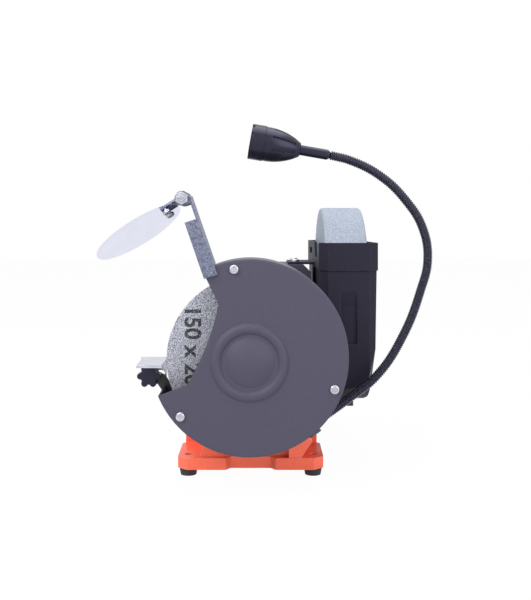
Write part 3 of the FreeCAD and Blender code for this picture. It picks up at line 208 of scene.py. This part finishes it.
# zinc-dipped sheet: small crystals, each with its own brightness
def spangleMaterial(name, light, dark, scale, roughness):
    look = {"warpScale": 0.9, "warpDetail": 2.0, "warpReach": 0.004, "edgeRadius": 0.0005, "edgeWearAndHighlight": 0.6,
            "edgeColour": (0.8, 0.82, 0.86), "smoother": 0.08, "rougher": 0.12, "metallic": 0.85}
    material, tree, shader = newMaterial(name)
    place = objectPlace(tree)
    warp = addNoise(tree, place, scale * look["warpScale"], look["warpDetail"])
    shift = addNode(tree, "ShaderNodeVectorMath", {0: warp.outputs["Color"], "Scale": look["warpReach"]},
                    operation="SCALE")
    moved = addNode(tree, "ShaderNodeVectorMath", {0: place, 1: shift.outputs[0]}, operation="ADD")
    tone = addCells(tree, moved.outputs[0], scale)
    wornAndLit = addGroup(tree, edgeWearAndHighlight, Radius=look["edgeRadius"], Amount=look["edgeWearAndHighlight"])
    tint = addMix(tree, tone, dark, light)
    link(tree, addMix(tree, wornAndLit.outputs["Mask"], tint, look["edgeColour"]), shader, "Base Color")
    dull = addRange(tree, tone, 0.0, 1.0, roughness - look["smoother"], roughness + look["rougher"])
    link(tree, dull, shader, "Roughness")
    link(tree, wornAndLit.outputs["Normal"], shader, "Normal")
    shader.inputs["Metallic"].default_value = look["metallic"]
    return material


# machined or plated metal with fine brushed streaks
def metalMaterial(name, colour, dark, roughness):
    look = {"stretch": (900.0, 90.0, 900.0), "detail": 3.0, "streakLow": 0.35, "streakHigh": 0.65,
            "glossLow": 0.3, "glossHigh": 0.7, "smoother": 0.05, "rougher": 0.1, "edgeRadius": 0.0004,
            "edgeWearAndHighlight": 0.5, "edgeColour": (0.85, 0.86, 0.88)}
    material, tree, shader = newMaterial(name)
    scaled = addNode(tree, "ShaderNodeMapping", {"Vector": objectPlace(tree), "Scale": look["stretch"]})
    streak = addNoise(tree, scaled.outputs[0], 1.0, look["detail"]).outputs[0]
    wornAndLit = addGroup(tree, edgeWearAndHighlight, Radius=look["edgeRadius"], Amount=look["edgeWearAndHighlight"])
    tint = addMix(tree, addRange(tree, streak, look["streakLow"], look["streakHigh"]), dark, colour)
    link(tree, addMix(tree, wornAndLit.outputs["Mask"], tint, look["edgeColour"]), shader, "Base Color")
    link(tree, addRange(tree, streak, look["glossLow"], look["glossHigh"], roughness - look["smoother"],
                        roughness + look["rougher"]), shader, "Roughness")
    link(tree, wornAndLit.outputs["Normal"], shader, "Normal")
    shader.inputs["Metallic"].default_value = 1.0
    return material


# clear plastic with faint scuffs in its gloss and tint
def clearMaterial(name, colour, scuffColour, roughness):
    look = {"scale": 60.0, "detail": 3.0, "glossLow": 0.45, "glossHigh": 0.75, "rougher": 0.03,
            "tintLow": 0.3, "tintHigh": 0.8, "bend": 1.02}   # a thin sheet hardly bends the view behind it
    material, tree, shader = newMaterial(name)
    scuff = addNoise(tree, objectPlace(tree), look["scale"], look["detail"]).outputs[0]
    dull = addRange(tree, scuff, look["glossLow"], look["glossHigh"], roughness, roughness + look["rougher"])
    link(tree, dull, shader, "Roughness")
    tint = addMix(tree, addRange(tree, scuff, look["tintLow"], look["tintHigh"]), colour, scuffColour)
    link(tree, tint, shader, "Base Color")
    shader.inputs["Transmission Weight"].default_value = 1.0
    shader.inputs["IOR"].default_value = look["bend"]
    return material


palette = {
    # the orange base's pale edge colour is part wear and part painted highlight along its edges
    "orange_paint": coatedMaterial("orangePaint", (0.95, 0.14, 0.065), (0.9, 0.12, 0.053), (1.0, 0.55, 0.42),
                                   0.42, scale=500.0, strength=0.12, radius=0.0011, wearAndHighlight=0.7, coat=0.15),
    "slate_paint": coatedMaterial("slatePaint", (0.052, 0.049, 0.07), (0.065, 0.061, 0.087), (0.2, 0.2, 0.26),
                                  0.5, scale=1500.0, strength=0.25, radius=0.0009, wearAndHighlight=0.1, gloss=0.36,
                                  sheen=(0.8, 0.78, 1.0)),
    "black_paint": coatedMaterial("blackPaint", (0.022, 0.022, 0.027), (0.03, 0.03, 0.036), (0.2, 0.2, 0.22),
                                  0.4, wearAndHighlight=0.3),
    "rubber": coatedMaterial("rubber", (0.022, 0.022, 0.026), (0.034, 0.034, 0.04), (0.06, 0.06, 0.065), 0.75,
                             scale=700.0, strength=0.35, wearAndHighlight=0.2),
    # the tank's lighter edge colour is a painted highlight along its corners
    "tank_plastic": coatedMaterial("tankPlastic", (0.017, 0.016, 0.025), (0.023, 0.021, 0.033),
                                   (0.2, 0.2, 0.26), 0.55, scale=1800.0, strength=0.3, radius=0.0009,
                                   wearAndHighlight=0.45, gloss=0.16, sheen=(0.75, 0.72, 1.0)),
    "black_plastic": coatedMaterial("blackPlastic", (0.009, 0.009, 0.014), (0.013, 0.013, 0.019),
                                    (0.07, 0.07, 0.085), 0.26, scale=1600.0, strength=0.15, wearAndHighlight=0.2,
                                    sheen=(0.6, 0.6, 0.95)),
    # the neck's lighter edge colour is a painted highlight on each rib
    "neck_black": coatedMaterial("neckBlack", (0.008, 0.008, 0.013), (0.012, 0.012, 0.018),
                                 (0.14, 0.14, 0.18), 0.24, radius=0.0005, wearAndHighlight=0.8, sheen=(0.6, 0.6, 0.95)),
    "rocker_red": coatedMaterial("rockerRed", (0.5, 0.018, 0.015), (0.42, 0.014, 0.012), (0.7, 0.1, 0.08),
                                 0.25, strength=0.05, coat=0.4),
    "blotter": coatedMaterial("blotterPaper", (0.68, 0.62, 0.5), (0.6, 0.54, 0.42), (0.75, 0.7, 0.6), 0.85),
    "copper": coatedMaterial("windingCopper", (0.5, 0.16, 0.05), (0.4, 0.11, 0.03), (0.7, 0.3, 0.12), 0.3,
                             metallic=0.9, scale=2500.0, strength=0.5),
    "zinc": metalMaterial("zincPlate", (0.66, 0.67, 0.74), (0.46, 0.47, 0.54), 0.26),
    "steel": metalMaterial("machinedSteel", (0.6, 0.6, 0.62), (0.42, 0.42, 0.44), 0.3),
    "bronze": metalMaterial("bronze", (0.6, 0.38, 0.14), (0.45, 0.27, 0.09), 0.35),
    "capacitor": metalMaterial("drawnAluminium", (0.72, 0.72, 0.74), (0.58, 0.58, 0.6), 0.35),
    "galvanised": spangleMaterial("galvanisedSheet", (0.24, 0.26, 0.35), (0.1, 0.11, 0.17), 900.0, 0.45),
    "dry_grit": gritMaterial("dryGrit", (0.54, 0.55, 0.62), (0.25, 0.255, 0.295), (0.075, 0.076, 0.095),
                             scale=1300.0, darkShare=0.05, roughness=0.85, depth=0.0004),
    "wet_grit": gritMaterial("wetGrit", (0.42, 0.46, 0.54), (0.3, 0.34, 0.41), (0.17, 0.2, 0.26),
                             scale=1300.0, darkShare=0.07, roughness=0.8, depth=0.0003),
    "clear": clearMaterial("clearPlastic", (0.74, 0.75, 0.87), (0.79, 0.8, 0.9), 0.01),
}
for subpart in frame["record"]["subparts"]:
    mesh = nodes[subpart["node"]].data
    mesh.materials.clear()
    mesh.materials.append(palette[subpart["material_slot"]])
print("materials set:", len(palette))


# mesh helpers: every piece is one object at the origin, placed by its mesh
def newPiece(name, mesh, body, slot, replaced=None, material=None):
    piece = bpy.data.objects.new(name, mesh)
    bpy.context.scene.collection.objects.link(piece)
    mesh.materials.clear()
    mesh.materials.append(material or palette[slot])
    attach(piece, body)
    if replaced:
        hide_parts(*replaced)
    return piece


def meshFrom(name, build, smooth=True):
    work = bmesh.new()
    build(work)
    bmesh.ops.recalc_face_normals(work, faces=work.faces)
    mesh = bpy.data.meshes.new(name)
    work.to_mesh(mesh)
    work.free()
    if smooth:
        mesh.shade_smooth()
    return mesh


def evaluatedMesh(holder):
    mesh = bpy.data.meshes.new_from_object(holder.evaluated_get(bpy.context.evaluated_depsgraph_get()))
    bpy.data.objects.remove(holder)
    return mesh


def jointPlace(name):
    return Vector(next(joint for joint in frame["joints"] if joint["name"] == name)["pos_m"])


# turns a profile of (along, radius) points about an axis through a point
def lathe(work, profile, origin, axis, side, steps, wobble=0.0, seed=1):
    spread = random.Random(seed)
    across = axis.cross(side)
    rings = []
    for step in range(steps):
        angle = 2 * math.pi * step / steps
        ray = side * math.cos(angle) + across * math.sin(angle)
        ring = []
        for along, radius in profile:
            shift = spread.uniform(-wobble, wobble)
            ring.append(work.verts.new(origin + axis * along + ray * (radius + shift)))
        rings.append(ring)
    count = len(profile)
    for step in range(steps):
        near, far = rings[step], rings[(step + 1) % steps]
        for index in range(count):
            after = (index + 1) % count
            work.faces.new((near[index], far[index], far[after], near[after]))


def roundedCorner(along, radius, size, fromAngle, steps=5):
    points = []
    for step in range(steps + 1):
        angle = math.radians(fromAngle + 90 * step / steps)
        points.append((along + size * math.cos(angle), radius + size * math.sin(angle)))
    return points


# geometry node helpers: a tree with named inputs, its ending, and the mesh it makes
def newShapeTree(name, inputs):
    tree = bpy.data.node_groups.new(name, "GeometryNodeTree")
    tree.is_modifier = True
    tree.interface.new_socket("Geometry", in_out="INPUT", socket_type="NodeSocketGeometry")
    sockets = {}
    for label, kind in inputs.items():
        sockets[label] = tree.interface.new_socket(label, in_out="INPUT", socket_type=kind).identifier
    tree.interface.new_socket("Geometry", in_out="OUTPUT", socket_type="NodeSocketGeometry")
    return tree, sockets, tree.nodes.new("NodeGroupInput"), tree.nodes.new("NodeGroupOutput")


def joinShapes(tree, *shapes):
    joined = addNode(tree, "GeometryNodeJoinGeometry")
    for shape in shapes:
        tree.links.new(shape, joined.inputs[0])
    return joined.outputs[0]


def finishShape(tree, shape, material, result):
    whole = addNode(tree, "GeometryNodeRealizeInstances", {"Geometry": shape})
    coloured = addNode(tree, "GeometryNodeSetMaterial", {"Geometry": whole.outputs[0], "Material": material})
    tree.links.new(coloured.outputs[0], result.inputs[0])


def shapeMesh(name, data, tree, sockets, values):
    holder = bpy.data.objects.new(name, data)
    bpy.context.scene.collection.objects.link(holder)
    modifier = holder.modifiers.new(tree.name, "NODES")
    modifier.node_group = tree
    for label, value in values.items():
        modifier[sockets[label]] = value
    mesh = evaluatedMesh(holder)
    mesh.shade_smooth()
    return mesh


# dry stone: grit worn a little uneven at its rim
def buildDryStone():
    low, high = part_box("dry_stone")
    centre = (low + high) / 2
    stone = {"half": (high.x - low.x) / 2, "radius": (high.y - low.y) / 2, "bore": 6.4 * mm, "edge": 0.9 * mm,
             "inner": 0.6, "skin": 0.15 * mm, "wobble": 0.12 * mm, "steps": 240, "seed": 5}
    half, radius, edge = stone["half"], stone["radius"], stone["edge"]
    profile = [(-half, stone["bore"]), (-half, radius * stone["inner"])]
    for corner, fromAngle in ((-half + edge, 90), (half - edge, 0)):
        turn = reversed(roundedCorner(corner, radius - edge, edge, fromAngle))
        profile += [(along, size - stone["skin"]) for along, size in turn]
    profile += [(half, radius * stone["inner"]), (half, stone["bore"])]
    origin = Vector((centre.x, 0, centre.z))

    def build(work):
        lathe(work, profile, origin, Vector((1, 0, 0)), Vector((0, 0, 1)), stone["steps"], stone["wobble"],
              stone["seed"])

    mesh = meshFrom("dryStoneGrit", build, smooth=False)
    newPiece("dryStoneGrit", mesh, "rotor", "dry_grit", ["dry_stone"])
    return high.x


def inkMaterial():
    ink = {"scale": 900.0, "detail": 3.0, "rubLow": 0.52, "rubHigh": 0.66, "dark": (0.02, 0.02, 0.024),
           "rubbed": (0.16, 0.16, 0.18), "roughness": 0.9}
    material, tree, shader = newMaterial("stoneInk")
    rub = addNoise(tree, objectPlace(tree), ink["scale"], ink["detail"]).outputs[0]
    tint = addMix(tree, addRange(tree, rub, ink["rubLow"], ink["rubHigh"]), ink["dark"], ink["rubbed"])
    link(tree, tint, shader, "Base Color")
    shader.inputs["Roughness"].default_value = ink["roughness"]
    return material


# plain size numbers printed on the stone's face
def buildStoneNumbers(face):
    numbers = {"text": "150 x 20", "size": 20.25 * mm, "place": (-52.0 * mm, 130.0 * mm), "lift": 0.1 * mm,
               "bold": 0.5 * mm, "thick": 0.05 * mm}
    curve = bpy.data.curves.new("stoneNumbers", "FONT")
    curve.body = numbers["text"]
    curve.size = numbers["size"]
    curve.offset = numbers["bold"]
    curve.align_x = "CENTER"
    curve.align_y = "CENTER"
    curve.extrude = numbers["thick"]
    holder = bpy.data.objects.new("stoneNumbersText", curve)
    bpy.context.scene.collection.objects.link(holder)
    mesh = evaluatedMesh(holder)
    across = Matrix.Translation((face + numbers["lift"], numbers["place"][0], numbers["place"][1]))
    turn = Matrix(((0, 0, 1, 0), (0, 1, 0, 0), (-1, 0, 0, 0), (0, 0, 0, 1)))   # faces +X and reads downward
    mesh.transform(across @ turn)
    newPiece("stoneNumbers", mesh, "rotor", "dry_grit", material=inkMaterial())


# wet stone: true round, with a softened edge
def buildWetStone():
    low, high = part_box("wet_stone")
    stone = {"edge": 3.0 * mm, "recess": 30 * mm, "depth": 10 * mm, "bore": 8.05 * mm, "steps": 256,
             "sharp": 35}
    half = (high.y - low.y) / 2
    radius = (high.z - low.z) / 2
    edge, depth = stone["edge"], stone["depth"]
    profile = [(-half + depth, stone["bore"]), (-half + depth, stone["recess"]), (-half, stone["recess"])]
    profile += reversed(roundedCorner(-half + edge, radius - edge, edge, 90))
    profile += reversed(roundedCorner(half - edge, radius - edge, edge, 0))
    profile += [(half, stone["recess"]), (half - depth, stone["recess"]), (half - depth, stone["bore"])]
    origin = (low + high) / 2

    def build(work):
        lathe(work, profile, origin, Vector((0, 1, 0)), Vector((0, 0, 1)), stone["steps"])

    mesh = meshFrom("wetStoneGrit", build)
    mesh.set_sharp_from_angle(angle=math.radians(stone["sharp"]))
    newPiece("wetStoneGrit", mesh, "wet_drive", "wet_grit", ["wet_stone"])


# gooseneck: one ring repeated along the neck's route over a smooth core
# the route is (y, z) in mm, and its end stays clear of the sleeve's tilt
neckRoute = [(64.12, 51.93), (90.2, 70.7), (120.3, 95.0), (145.6, 133.8), (162.1, 176.6), (168.6, 203.9),
             (164.1, 234.9), (147.5, 262.2), (124.2, 284.6), (95.0, 299.8), (76.83, 304.55)]
neckSteps = {"route": 24, "ring": 28, "bead": 10}


def neckCurve(x):
    curve = bpy.data.curves.new("neckRoute", "CURVE")
    curve.dimensions = "3D"
    curve.resolution_u = neckSteps["route"]
    spline = curve.splines.new("BEZIER")
    spline.bezier_points.add(len(neckRoute) - 1)
    for point, (y, z) in zip(spline.bezier_points, neckRoute):
        point.co = (x, y * mm, z * mm)
        point.handle_left_type = "AUTO"
        point.handle_right_type = "AUTO"
    return curve


def neckNodes(material):
    kinds = {"Ribs": "NodeSocketInt", "Radius": "NodeSocketFloat", "Rib": "NodeSocketFloat"}
    tree, sockets, given, result = newShapeTree("neckRibs", kinds)
    route = given.outputs[0]
    ring = addNode(tree, "GeometryNodeCurvePrimitiveCircle",
                   {"Resolution": neckSteps["ring"], "Radius": given.outputs["Radius"]}).outputs[0]
    bead = addNode(tree, "GeometryNodeCurvePrimitiveCircle",
                   {"Resolution": neckSteps["bead"], "Radius": given.outputs["Rib"]}).outputs[0]
    torus = addNode(tree, "GeometryNodeCurveToMesh", {"Curve": ring, "Profile Curve": bead})
    even = addNode(tree, "GeometryNodeResampleCurve", {"Curve": route, "Count": given.outputs["Ribs"]})
    way = addNode(tree, "GeometryNodeInputTangent")
    turn = addNode(tree, "FunctionNodeAlignRotationToVector", {"Vector": way.outputs[0]}, axis="Z")
    placed = addNode(tree, "GeometryNodeInstanceOnPoints",
                     {"Points": even.outputs[0], "Instance": torus.outputs[0], "Rotation": turn.outputs[0]})
    tube = addNode(tree, "GeometryNodeCurveToMesh",
                   {"Curve": route, "Profile Curve": ring, "Fill Caps": True})
    finishShape(tree, joinShapes(tree, placed.outputs[0], tube.outputs[0]), material, result)
    return tree, sockets


def buildGooseneck():
    low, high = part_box("gooseneck")
    neck = {"Ribs": 155, "Rib": 0.72 * mm}
    neck["Radius"] = (high.x - low.x) / 2 - neck["Rib"]
    tree, sockets = neckNodes(palette["neck_black"])
    mesh = shapeMesh("neckHolder", neckCurve((low.x + high.x) / 2), tree, sockets, neck)
    newPiece("gooseneckRibs", mesh, "lamp_arm", "neck_black", ["gooseneck"])


# eye shield: a clear oval sheet with a rounded edge, hung from its pivot
def buildEyeShield():
    shield = {"slope": 33.0, "twist": 13.0, "start": 7.0 * mm, "length": 86.0 * mm, "width": 72.0 * mm,
              "thick": 3.0 * mm, "edge": 1.4 * mm, "edgeStep": 18, "shift": -6.2 * mm, "steps": 160,
              "sharp": 40}
    pivot = jointPlace("shield_tilt")
    pivot.x = (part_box("shield_bracket")[0].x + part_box("shield_bracket")[1].x) / 2
    slope = math.radians(shield["slope"])
    along = Vector((0, -math.cos(slope), -math.sin(slope)))
    across = Matrix.Rotation(math.radians(shield["twist"]), 3, along) @ Vector((1, 0, 0))
    up = across.cross(along)
    middle = pivot + along * (shield["start"] + shield["length"] / 2) + across * shield["shift"]
    edge, thick = shield["edge"], shield["thick"]
    rim = [(edge * (1 - math.sin(math.radians(turn))), edge * (1 - math.cos(math.radians(turn))))
           for turn in range(0, 91, shield["edgeStep"])]
    rings = rim + [(inset, thick - height) for inset, height in reversed(rim)]

    def build(work):
        loops = []
        for inset, height in rings:
            loop = []
            for step in range(shield["steps"]):
                angle = 2 * math.pi * step / shield["steps"]
                reach = (shield["length"] / 2 - inset) * math.cos(angle)
                side = (shield["width"] / 2 - inset) * math.sin(angle)
                loop.append(work.verts.new(middle + along * reach + across * side + up * height))
            loops.append(loop)
        for near, far in zip(loops, loops[1:]):
            for index in range(shield["steps"]):
                after = (index + 1) % shield["steps"]
                work.faces.new((near[index], near[after], far[after], far[index]))
        work.faces.new(loops[0])
        work.faces.new(loops[-1])

    mesh = meshFrom("eyeShieldSheet", build)
    mesh.set_sharp_from_angle(angle=math.radians(shield["sharp"]))
    newPiece("eyeShieldSheet", mesh, "shield", "clear", ["eye_shield"])


# light board: a ring of small diodes and one in the middle, behind the lens
def ledNodes(material):
    diode = {"segments": 20, "rings": 12}
    kinds = {"Count": "NodeSocketInt", "Ring": "NodeSocketFloat", "Bead": "NodeSocketFloat"}
    tree, sockets, given, result = newShapeTree("ledRing", kinds)
    ring = addNode(tree, "GeometryNodeMeshCircle",
                   {"Vertices": given.outputs["Count"], "Radius": given.outputs["Ring"]})
    middle = addNode(tree, "GeometryNodeMeshLine", {"Count": 1})
    places = joinShapes(tree, ring.outputs[0], middle.outputs[0])
    bead = addNode(tree, "GeometryNodeMeshUVSphere",
                   {"Segments": diode["segments"], "Rings": diode["rings"], "Radius": given.outputs["Bead"]})
    placed = addNode(tree, "GeometryNodeInstanceOnPoints", {"Points": places, "Instance": bead.outputs[0]})
    finishShape(tree, placed.outputs[0], material, result)
    return tree, sockets


def buildLampLeds():
    leds = {"Count": 6, "Ring": 8.6 * mm, "Bead": 1.7 * mm}
    board = {"angle": 10.0, "half": 1.5 * mm}
    tilt = math.radians(board["angle"])
    lampWay = Vector((0, -math.cos(tilt), math.sin(tilt)))
    low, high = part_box("lamp_board")
    diode = coatedMaterial("diodeResin", (0.85, 0.8, 0.55), (0.75, 0.68, 0.38), (0.9, 0.88, 0.75), 0.2,
                           strength=0.05)
    tree, sockets = ledNodes(diode)
    mesh = shapeMesh("ledHolder", bpy.data.meshes.new("ledHolder"), tree, sockets, leds)
    face = (low + high) / 2 + lampWay * board["half"]
    mesh.transform(Matrix.Translation(face) @ lampWay.to_track_quat("Z", "Y").to_matrix().to_4x4())
    newPiece("lampLeds", mesh, "lamp_head", "black_plastic", material=diode)


# neck boot: a black ball that fills the gap where the lamp tilts on the neck
def buildNeckBoot():
    boot = {"radius": 4.3 * mm, "rounds": 4}
    pivot = jointPlace("lamp_head_tilt")

    def build(work):
        bmesh.ops.create_icosphere(work, subdivisions=boot["rounds"], radius=boot["radius"],
                                   matrix=Matrix.Translation(pivot))

    newPiece("neckBoot", meshFrom("neckBoot", build), "lamp_arm", "neck_black")


buildStoneNumbers(buildDryStone())
buildWetStone()
buildGooseneck()
buildEyeShield()
buildLampLeds()
buildNeckBoot()
print("pieces built")


# rays that see the white surround: the camera's, and those off metal and through clear plastic
def backgroundRays(tree):
    path = addNode(tree, "ShaderNodeLightPath")
    seen = addMath(tree, "MAXIMUM", path.outputs["Is Camera Ray"], path.outputs["Is Transmission Ray"])
    return addMath(tree, "MAXIMUM", seen, path.outputs["Is Glossy Ray"])


# stage: pale floor and white surround, soft light, and the photograph's view
def buildStage():
    stage = {"half": 6.0, "glow": 0.97, "colour": (0.86, 0.86, 0.87, 1), "roughness": 0.9}
    mesh = bpy.data.meshes.new("floor")
    half = stage["half"]
    corners = [(-half, -half, 0), (half, -half, 0), (half, half, 0), (-half, half, 0)]
    mesh.from_pydata(corners, [], [(0, 1, 2, 3)])
    floor = bpy.data.objects.new("floor", mesh)
    bpy.context.scene.collection.objects.link(floor)
    material, tree, shader = newMaterial("floorPale")
    shader.inputs["Base Color"].default_value = stage["colour"]
    shader.inputs["Roughness"].default_value = stage["roughness"]
    glow = addNode(tree, "ShaderNodeEmission", {"Color": (1, 1, 1, 1), "Strength": 1.0})
    share = addMath(tree, "MULTIPLY", backgroundRays(tree), stage["glow"])
    mix = addNode(tree, "ShaderNodeMixShader", {0: share, 1: shader.outputs[0], 2: glow.outputs[0]})
    tree.links.new(mix.outputs[0], tree.nodes["Material Output"].inputs["Surface"])
    mesh.materials.append(material)


def buildWorld():
    sky = {"colour": (0.93, 0.95, 1.0, 1), "strength": 0.55}
    world = bpy.data.worlds.new("studio")
    world.use_nodes = True
    tree = world.node_tree
    ground = tree.nodes["Background"]
    ground.inputs["Color"].default_value = sky["colour"]
    ground.inputs["Strength"].default_value = sky["strength"]
    white = addNode(tree, "ShaderNodeBackground", {"Color": (1, 1, 1, 1), "Strength": 1.0})
    mix = addNode(tree, "ShaderNodeMixShader",
                  {0: backgroundRays(tree), 1: ground.outputs[0], 2: white.outputs[0]})
    tree.links.new(mix.outputs[0], tree.nodes["World Output"].inputs["Surface"])
    bpy.context.scene.world = world


def addLight(name, place, target, size, power):
    data = bpy.data.lights.new(name, "AREA")
    data.shape = "RECTANGLE"
    data.size = data.size_y = size
    data.energy = power
    lamp = bpy.data.objects.new(name, data)
    bpy.context.scene.collection.objects.link(lamp)
    lamp.location = place
    lamp.rotation_euler = (Vector(target) - Vector(place)).to_track_quat("-Z", "Y").to_euler()


def buildCamera():
    view = {"place": (0.909, 0.0108, 0.2355), "lens": 52.2, "sensor": 36.0, "shift": (0.0058, -0.12)}
    data = bpy.data.cameras.new("photoView")
    data.lens = view["lens"]
    data.sensor_width = view["sensor"]
    data.shift_x, data.shift_y = view["shift"]
    camera = bpy.data.objects.new("photoView", data)
    camera.location = view["place"]
    camera.rotation_euler = (math.radians(90), 0, math.radians(90))
    bpy.context.scene.collection.objects.link(camera)
    bpy.context.scene.camera = camera


buildStage()
buildWorld()
addLight("keyLight", place=(1.1, -1.0, 1.3), target=(0, 0, 0.15), size=1.2, power=26.0)
addLight("fillLight", place=(1.3, 1.1, 0.7), target=(0, 0, 0.15), size=1.2, power=12.0)
addLight("topLight", place=(0.0, 0.1, 1.7), target=(0, 0, 0.1), size=1.4, power=16.0)
buildCamera()
bpy.context.scene.view_settings.view_transform = "Standard"
print("stage set")
